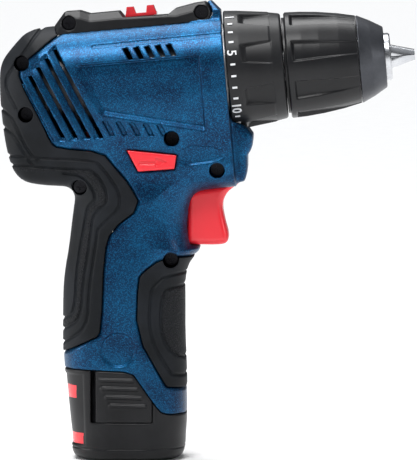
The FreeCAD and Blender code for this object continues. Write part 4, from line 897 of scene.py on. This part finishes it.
# -------------------- turned pieces
@dataclass
class Turned:
    """A piece turned about the spindle, whose outline may vary round it."""

    head: Head
    name: str
    outline: Sequence[Point]
    finish: Finish
    bore: Sequence[Point]
    segments: int = 720
    pitch: float = 0.22

    def build(self, relief: Callable[[Array, Array], Array]) -> Piece:
        """Makes the mesh.

        Args:
            relief: height taken away at (s, angle in degrees), angle 0 to the right side and 90 upwards.

        Returns:
            The object.
        """
        outer = self.sample()
        inner = np.array(self.bore[::-1], float)
        angles = np.linspace(0.0, 2.0 * math.pi, self.segments, endpoint=False)
        rings = np.concatenate([outer, inner])
        s, a = np.meshgrid(rings[:, 0], angles, indexing="ij")
        r = np.repeat(rings[:, 1][:, None], self.segments, 1)
        r[:len(outer)] -= relief(s[:len(outer)], np.degrees(a[:len(outer)]))
        y, v = -r * np.cos(a), r * np.sin(a)
        x, z = self.head.world(s, v)
        corners = np.stack([x, y, z], -1).reshape(-1, 3) * MM
        faces = []
        total = len(rings)
        for i in range(total):
            base, following = i * self.segments, ((i + 1) % total) * self.segments
            for j in range(self.segments):
                k = (j + 1) % self.segments
                faces.append((base + j, base + k, following + k, following + j))
        return make_object(self.name, corners, faces, self.finish)

    def sample(self) -> Array:
        """Points along the outline, close together."""
        found = [self.outline[0]]
        for (s, r), (s_next, r_next) in zip(self.outline, self.outline[1:]):
            steps = max(1, int(math.hypot(s_next - s, r_next - r) / self.pitch))
            found += [(s + (s_next - s) * t / steps, r + (r_next - r) * t / steps)
                      for t in range(1, steps + 1)]
        return np.array(found)


@dataclass
class Rotary:
    """Torque collar, chuck sleeve and nose. Outlines are (s, radius) and angles are in degrees."""

    head: Head
    tick: float = 11.2
    one_at: float = 63.0
    pocket_at: float = 17.5
    flute_at: float = 17.0
    digits: tuple[tuple[str, int], ...] = (("1", 0), ("5", 4), ("10", 9), ("15", 14), ("20", 19))
    pocket_floor: float = 21.75
    flute_depth: float = 1.5
    collar_land: Outline = (
        (0.35, 23.6), (0.8, 24.15), (6.0, 23.75), (18.0, 22.25), (18.7, 21.95), (22.6, 21.25),
        (23.2, 20.6))
    collar_bore: Outline = ((0.35, 20.9), (17.0, 20.9), (23.0, 17.0))
    sleeve_line: Outline = (
        (23.5, 15.0), (23.5, 19.3), (24.5, 19.3), (24.55, 20.8), (25.1, 21.4), (31.0, 21.15),
        (38.0, 20.5), (46.0, 19.3), (53.1, 17.75), (53.35, 17.5), (53.35, 15.7))
    sleeve_bore: Outline = ((23.5, 14.9), (27.9, 17.2), (47.2, 15.7), (53.3, 15.65))
    nose_line: Outline = (
        (53.5, 15.0), (53.5, 17.35), (53.8, 17.7), (58.8, 15.35), (63.8, 12.4), (64.1, 11.9),
        (64.1, 9.95))
    nose_bore: Outline = ((53.5, 14.9), (56.0, 14.7), (62.0, 9.95))
    number_size: float = 5.2
    number_radius: float = 24.05
    tick_radius: float = 24.0
    tick_half: float = 0.4
    tick_length: float = 2.0

    @staticmethod
    def fold(angle: Array, middle: float) -> Array:
        """Angle from the nearest of eight pockets, of which one has its middle at an angle."""
        return (angle - middle + 22.5) % 45.0 - 22.5

    def collar_relief(self, s: Array, angle: Array) -> Array:
        """Pockets down to a round floor, open towards the front, with a slanted rear facet."""
        land = np.interp(s, *zip(*self.collar_land))
        deep = np.maximum(land - self.pocket_floor, 0.0) * ease(6.0, 8.6, s) * (s < 18.8)
        turn = self.fold(angle, self.pocket_at)
        return deep * ease(0.0, -1.6, np.abs(turn) - 9.2 - 0.3 * (s - 6.0))

    def sleeve_relief(self, s: Array, angle: Array) -> Array:
        """Long flutes that run out towards the nose."""
        fade = 1.0 - 0.8 * ease(30.0, 53.0, s)
        deep = self.flute_depth * fade * ease(26.6, 27.9, s) * (s < 53.2)
        turn = self.fold(angle, self.flute_at)
        return deep * ease(0.0, -2.6, np.abs(turn) - 12.4 + 0.13 * (s - 27.0))

    @staticmethod
    def plain(s: Array, _: Array) -> Array:
        """No relief."""
        return np.zeros_like(s)

    def build(self) -> None:
        """Makes the turned pieces and the numbers on the collar."""
        outline = ((0.35, 21.0),) + self.collar_land + ((23.2, 17.1),)
        collar = Turned(self.head, "torque_ring", outline, COLLAR, self.collar_bore)
        place(collar.build(self.collar_relief), "collar", "collar_plastic", "torque_collar")
        sleeve = Turned(self.head, "chuck_grip", self.sleeve_line, SLEEVE, self.sleeve_bore)
        place(sleeve.build(self.sleeve_relief), "chuck_sleeve", "sleeve_plastic", "chuck_sleeve")
        nose = Turned(self.head, "chuck_nose", self.nose_line, GUNMETAL, self.nose_bore)
        place(nose.build(self.plain), "chuck_sleeve", "nose_metal", "chuck_nose_sleeve")
        self.marks()

    def wrapped(self, name: str, flat: Array, faces: Sequence[Sequence[int]], angle: float, s: float,
                radius: float) -> Piece:
        """Bends a flat mark round the collar.

        Args:
            name: the object's name.
            flat: its points, in millimetres, x round the collar and y along it, z outwards.
            faces: its faces.
            angle: where it stands, in degrees.
            s: where it stands along the spindle.
            radius: radius of the surface.

        Returns:
            The object.
        """
        turn = math.radians(angle) - flat[:, 0] / radius
        r = radius + flat[:, 2]
        x, z = self.head.world(s + flat[:, 1], r * np.sin(turn))
        corners = np.stack([x, -r * np.cos(turn), z], -1) * MM
        return make_object(name, corners, faces, MARK, smooth=False)

    def marks(self) -> None:
        """White numbers and ticks on the collar's rear band."""
        for text, step in self.digits:
            curve = bpy.data.curves.new(f"number_{text}", "FONT")
            curve.body = text
            curve.size = self.number_size
            curve.offset = 0.06
            curve.extrude = 0.2
            curve.align_x = "CENTER"
            holder = bpy.data.objects.new(f"number_{text}_flat", curve)
            mesh = bpy.data.meshes.new_from_object(holder)
            flat = np.array([v.co for v in mesh.vertices])
            faces = [tuple(p.vertices) for p in mesh.polygons]
            bpy.data.objects.remove(holder)
            angle = self.one_at - self.tick * step
            place(self.wrapped(f"number_{text}", flat, faces, angle, 1.2, self.number_radius), "collar",
                  "collar_plastic")
        flats, faces = [], []
        for step in (n for n in range(20) if n not in {at for _, at in self.digits}):
            base = len(flats)
            along = math.radians(self.one_at - self.tick * step) * self.tick_radius
            flats += [(-along + self.tick_half * dx, self.tick_length * dy, 0.45 * dz - 0.25)
                      for dx, dy, dz in BOX_CORNERS]
            faces += [tuple(base + i for i in face) for face in BOX_FACES]
        ticks = self.wrapped("collar_ticks", np.array(flats), faces, 0.0, 2.0, self.tick_radius)
        place(ticks, "collar", "collar_plastic")


# -------------------- battery
@dataclass
class Battery:
    """The battery's foot, its stem in the grip and its latches."""

    head: Head
    step: float = 0.4
    slot_back: float = -15.2
    slot_front: float = -13.1
    latch_front: float = 9.5
    latch_low: float = 15.8
    wall: float = 2.0
    button_depth: float = 1.8
    flange_from: float = 18.5
    cell_pitch: float = 18.6
    cell_middle: float = -8.0
    stem_step: float = 0.5
    stem_round: float = 10.6
    stem_top: float = 74.4
    tower_top: float = 79.0
    tower_x: float = -8.5
    blade_slots: tuple[float, ...] = (-7.0, -2.4, 2.4, 7.0)
    panel: Outline = ((-27.5, 35), (-18.2, 35), (-17.4, 6.3), (-24.7, 6.3))
    patches: tuple[tuple[float, float, float, float], ...] = (
        (-27.5, -21.1, 25.3, 30.6), (-24.5, -18.2, 6.7, 11.1))

    def build(self) -> None:
        """Carves the battery and its latches."""
        g = Lattice(self.head, (-28.6, -23.8, -1.0), (25.4, 0.4, 40.0), self.step)
        outer = rounded_slab(area_distance(g.x, g.z, rounded(Housing.grip_line, 1)), g.y, Housing.grip_half,
                             Housing.grip_round)
        outer = smooth_max(outer, -g.z, 5.5)
        outer = smooth_max(outer, area_distance(g.x, g.z, Housing.seam_line), 0.5)
        hollow = common(outer + self.wall, 1.5 - g.z)
        line = 0.35 * ease(0.5, 0.0, np.abs(g.z - 5.0))
        line = line + 0.5 * ease(0.4, -0.4, area_distance(g.x, g.z, self.panel))
        gap = common(self.slot_back - g.x, g.x - self.latch_front - 0.3, self.latch_low - 0.3 - g.z,
                     g.y + 15.0)
        latch = common(self.slot_front - g.x, g.x - self.latch_front, self.latch_low - g.z)
        button = common(outer - 0.8 * ease(0.3, -0.5, self.ribs(g)), -(outer + self.button_depth),
                        latch, g.y + self.flange_from)
        for side, name in SIDES:
            shell = common(outer + line, -hollow, g.y, -gap)
            foot = place(g.mesh(f"battery_foot_{name}", shell, NYLON, side), "battery", "battery_plastic",
                         *(("battery_base",) if side > 0 else ()))
            self.mark(foot)
            place(g.mesh(f"latch_button_{name}", button, NYLON, side), f"latch_{name}", "battery_plastic",
                  f"latch_{name}")
        self.stem()

    def ribs(self, grid: Lattice) -> Array:
        """Side field of the four ribs across a latch button."""
        ends = [(-12.2 + 1.7 * i, 33.0 - 3.45 * i) for i in range(4)]
        return joined(*(line_distance(grid.x, grid.z, ((x, z), (x + 14.0, z - 0.4))) - 0.75 for x, z in ends))

    def mark(self, foot: Piece) -> None:
        """Colours the two red patches of the rear panel.

        Args:
            foot: one half of the foot.
        """
        x, y, z = face_centres(foot)
        red = np.zeros(len(x), bool)
        for back, front, low, high in self.patches:
            red |= (x > back) & (x < front) & (z > low) & (z < high) & (np.abs(y) > 6.0)
        paint(foot, red, RED)

    def stem(self) -> None:
        """Carves the rounded triangular stem that holds the cells."""
        grid = Lattice(self.head, (-21.0, -20.6, 11.0), (21.0, 20.6, 80.5), self.stem_step)
        centre = self.cell_middle + self.cell_pitch * math.sqrt(3.0) / 6.0
        reach = self.cell_pitch / math.sqrt(3.0)
        corners = [(centre + reach * math.cos(math.radians(a)), reach * math.sin(math.radians(a)))
                   for a in (0, 120, 240)]
        hull = area_distance(grid.x, grid.y, corners) - self.stem_round
        off = np.abs(grid.x - self.tower_x)
        tower = common(off - 5.4, np.abs(grid.y) - 9.4, grid.z - self.tower_top)
        stem = joined(smooth_max(hull, grid.z - self.stem_top, 1.0), tower)
        for y in self.blade_slots:
            stem = common(stem, -common(np.abs(grid.y - y) - 0.9, off - 4.4, 73.2 - grid.z))
        stem = common(stem, 12.0 - grid.z)
        place(grid.mesh("battery_stem", stem, NYLON), "battery", "battery_plastic", "battery_case")


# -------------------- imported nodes, stage, camera
def dress_nodes(frame: dict) -> None:
    """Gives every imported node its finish.
    """
    slots = {entry["node"]: entry["material_slot"] for entry in frame["record"]["subparts"]}
    for name, node in frame["nodes"].items():
        finish = CAD_FINISH[slots[name]].build()
        node.data.materials.clear()
        node.data.materials.append(finish)


@dataclass
class Studio:
    """Floor, lights, surroundings and camera."""

    centre: Vector
    distance: float = 2.2
    azimuth: float = 1.2
    elevation: float = 3.5
    reach: float = 0.1863
    sensor: float = 24.0
    floor_half: float = 30.0
    lamps: tuple[tuple[str, Triple, float, float], ...] = (
        ("key", (-0.2, -0.7, 1.15), 0.45, 14.0), ("fill", (1.3, -0.5, 0.35), 0.35, 2.5),
        ("rim", (-1.2, -0.1, 0.25), 0.4, 5.0))
    sun_from: Triple = (-0.1, 0.3, 1.0)
    sun_strength: float = 2.9
    sun_spread: float = 40.0

    def build(self) -> None:
        """Makes the stage."""
        half = self.floor_half
        corners = np.array([(-half, -half, 0), (half, -half, 0), (half, half, 0), (-half, half, 0)])
        floor = make_object("floor", corners, [(0, 1, 2, 3)], FLOOR, smooth=False)
        bpy.context.scene.view_settings.view_transform = "Standard"
        self.world()
        for name, stand, size, power in self.lamps:
            self.light(name, stand, size, power)
        sun = bpy.data.lights.new("sun", "SUN")
        sun.energy = self.sun_strength
        sun.angle = math.radians(self.sun_spread)
        add_object("sun", sun, Vector(self.sun_from))
        self.camera()

    def world(self) -> None:
        """Surroundings that are bright overhead and dim round the sides."""
        world = bpy.data.worlds.new("studio")
        bpy.context.scene.world = world
        world.use_nodes = True
        nodes = Nodes(world.node_tree)
        direction = nodes.add("ShaderNodeTexCoord", {}, {}, "Generated")
        height = nodes.add("ShaderNodeSeparateXYZ", {}, {0: direction}, 2)
        strength = height.ramp(-0.05, 0.9) * 0.35 + 0.06
        background = world.node_tree.nodes["Background"]
        background.inputs["Color"].default_value = (0.93, 0.96, 1.0, 1.0)
        world.node_tree.links.new(strength.socket, background.inputs["Strength"])

    def light(self, name: str, stand: Triple, size: float, power: float) -> None:
        """Adds a soft light aimed at the tool.

        Args:
            name: the light's name.
            stand: where it stands, in metres from the tool.
            size: edge of its square, in metres.
            power: watts.
        """
        lamp = bpy.data.lights.new(name, "AREA")
        lamp.size = size
        lamp.energy = power
        add_object(name, lamp, Vector(stand)).location = self.centre + Vector(stand)

    def camera(self) -> None:
        """Sets the camera."""
        data = bpy.data.cameras.new("view")
        data.sensor_fit = "VERTICAL"
        data.sensor_height = self.sensor
        data.lens = data.sensor_height * self.distance / self.reach
        data.clip_end = 20.0
        a, e = math.radians(self.azimuth), math.radians(self.elevation)
        away = Vector((math.sin(a) * math.cos(e), -math.cos(a) * math.cos(e), math.sin(e)))
        camera = add_object("view", data, away)
        camera.location = self.centre + away * self.distance
        bpy.context.scene.camera = camera


def main() -> None:
    """Builds the looks in order, and notes the sizes."""
    logging.basicConfig(level=logging.INFO, format="%(name)s %(message)s")
    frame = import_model()
    head = Head.read(frame["joints"])
    dress_nodes(frame)
    Housing(head).build()
    Cover(head).build()
    Controls(head).build()
    Rotary(head).build()
    Battery(head).build()
    Studio(Vector((0.0318, 0.0, 0.0921))).build()


if __name__ == "__main__":
    main()
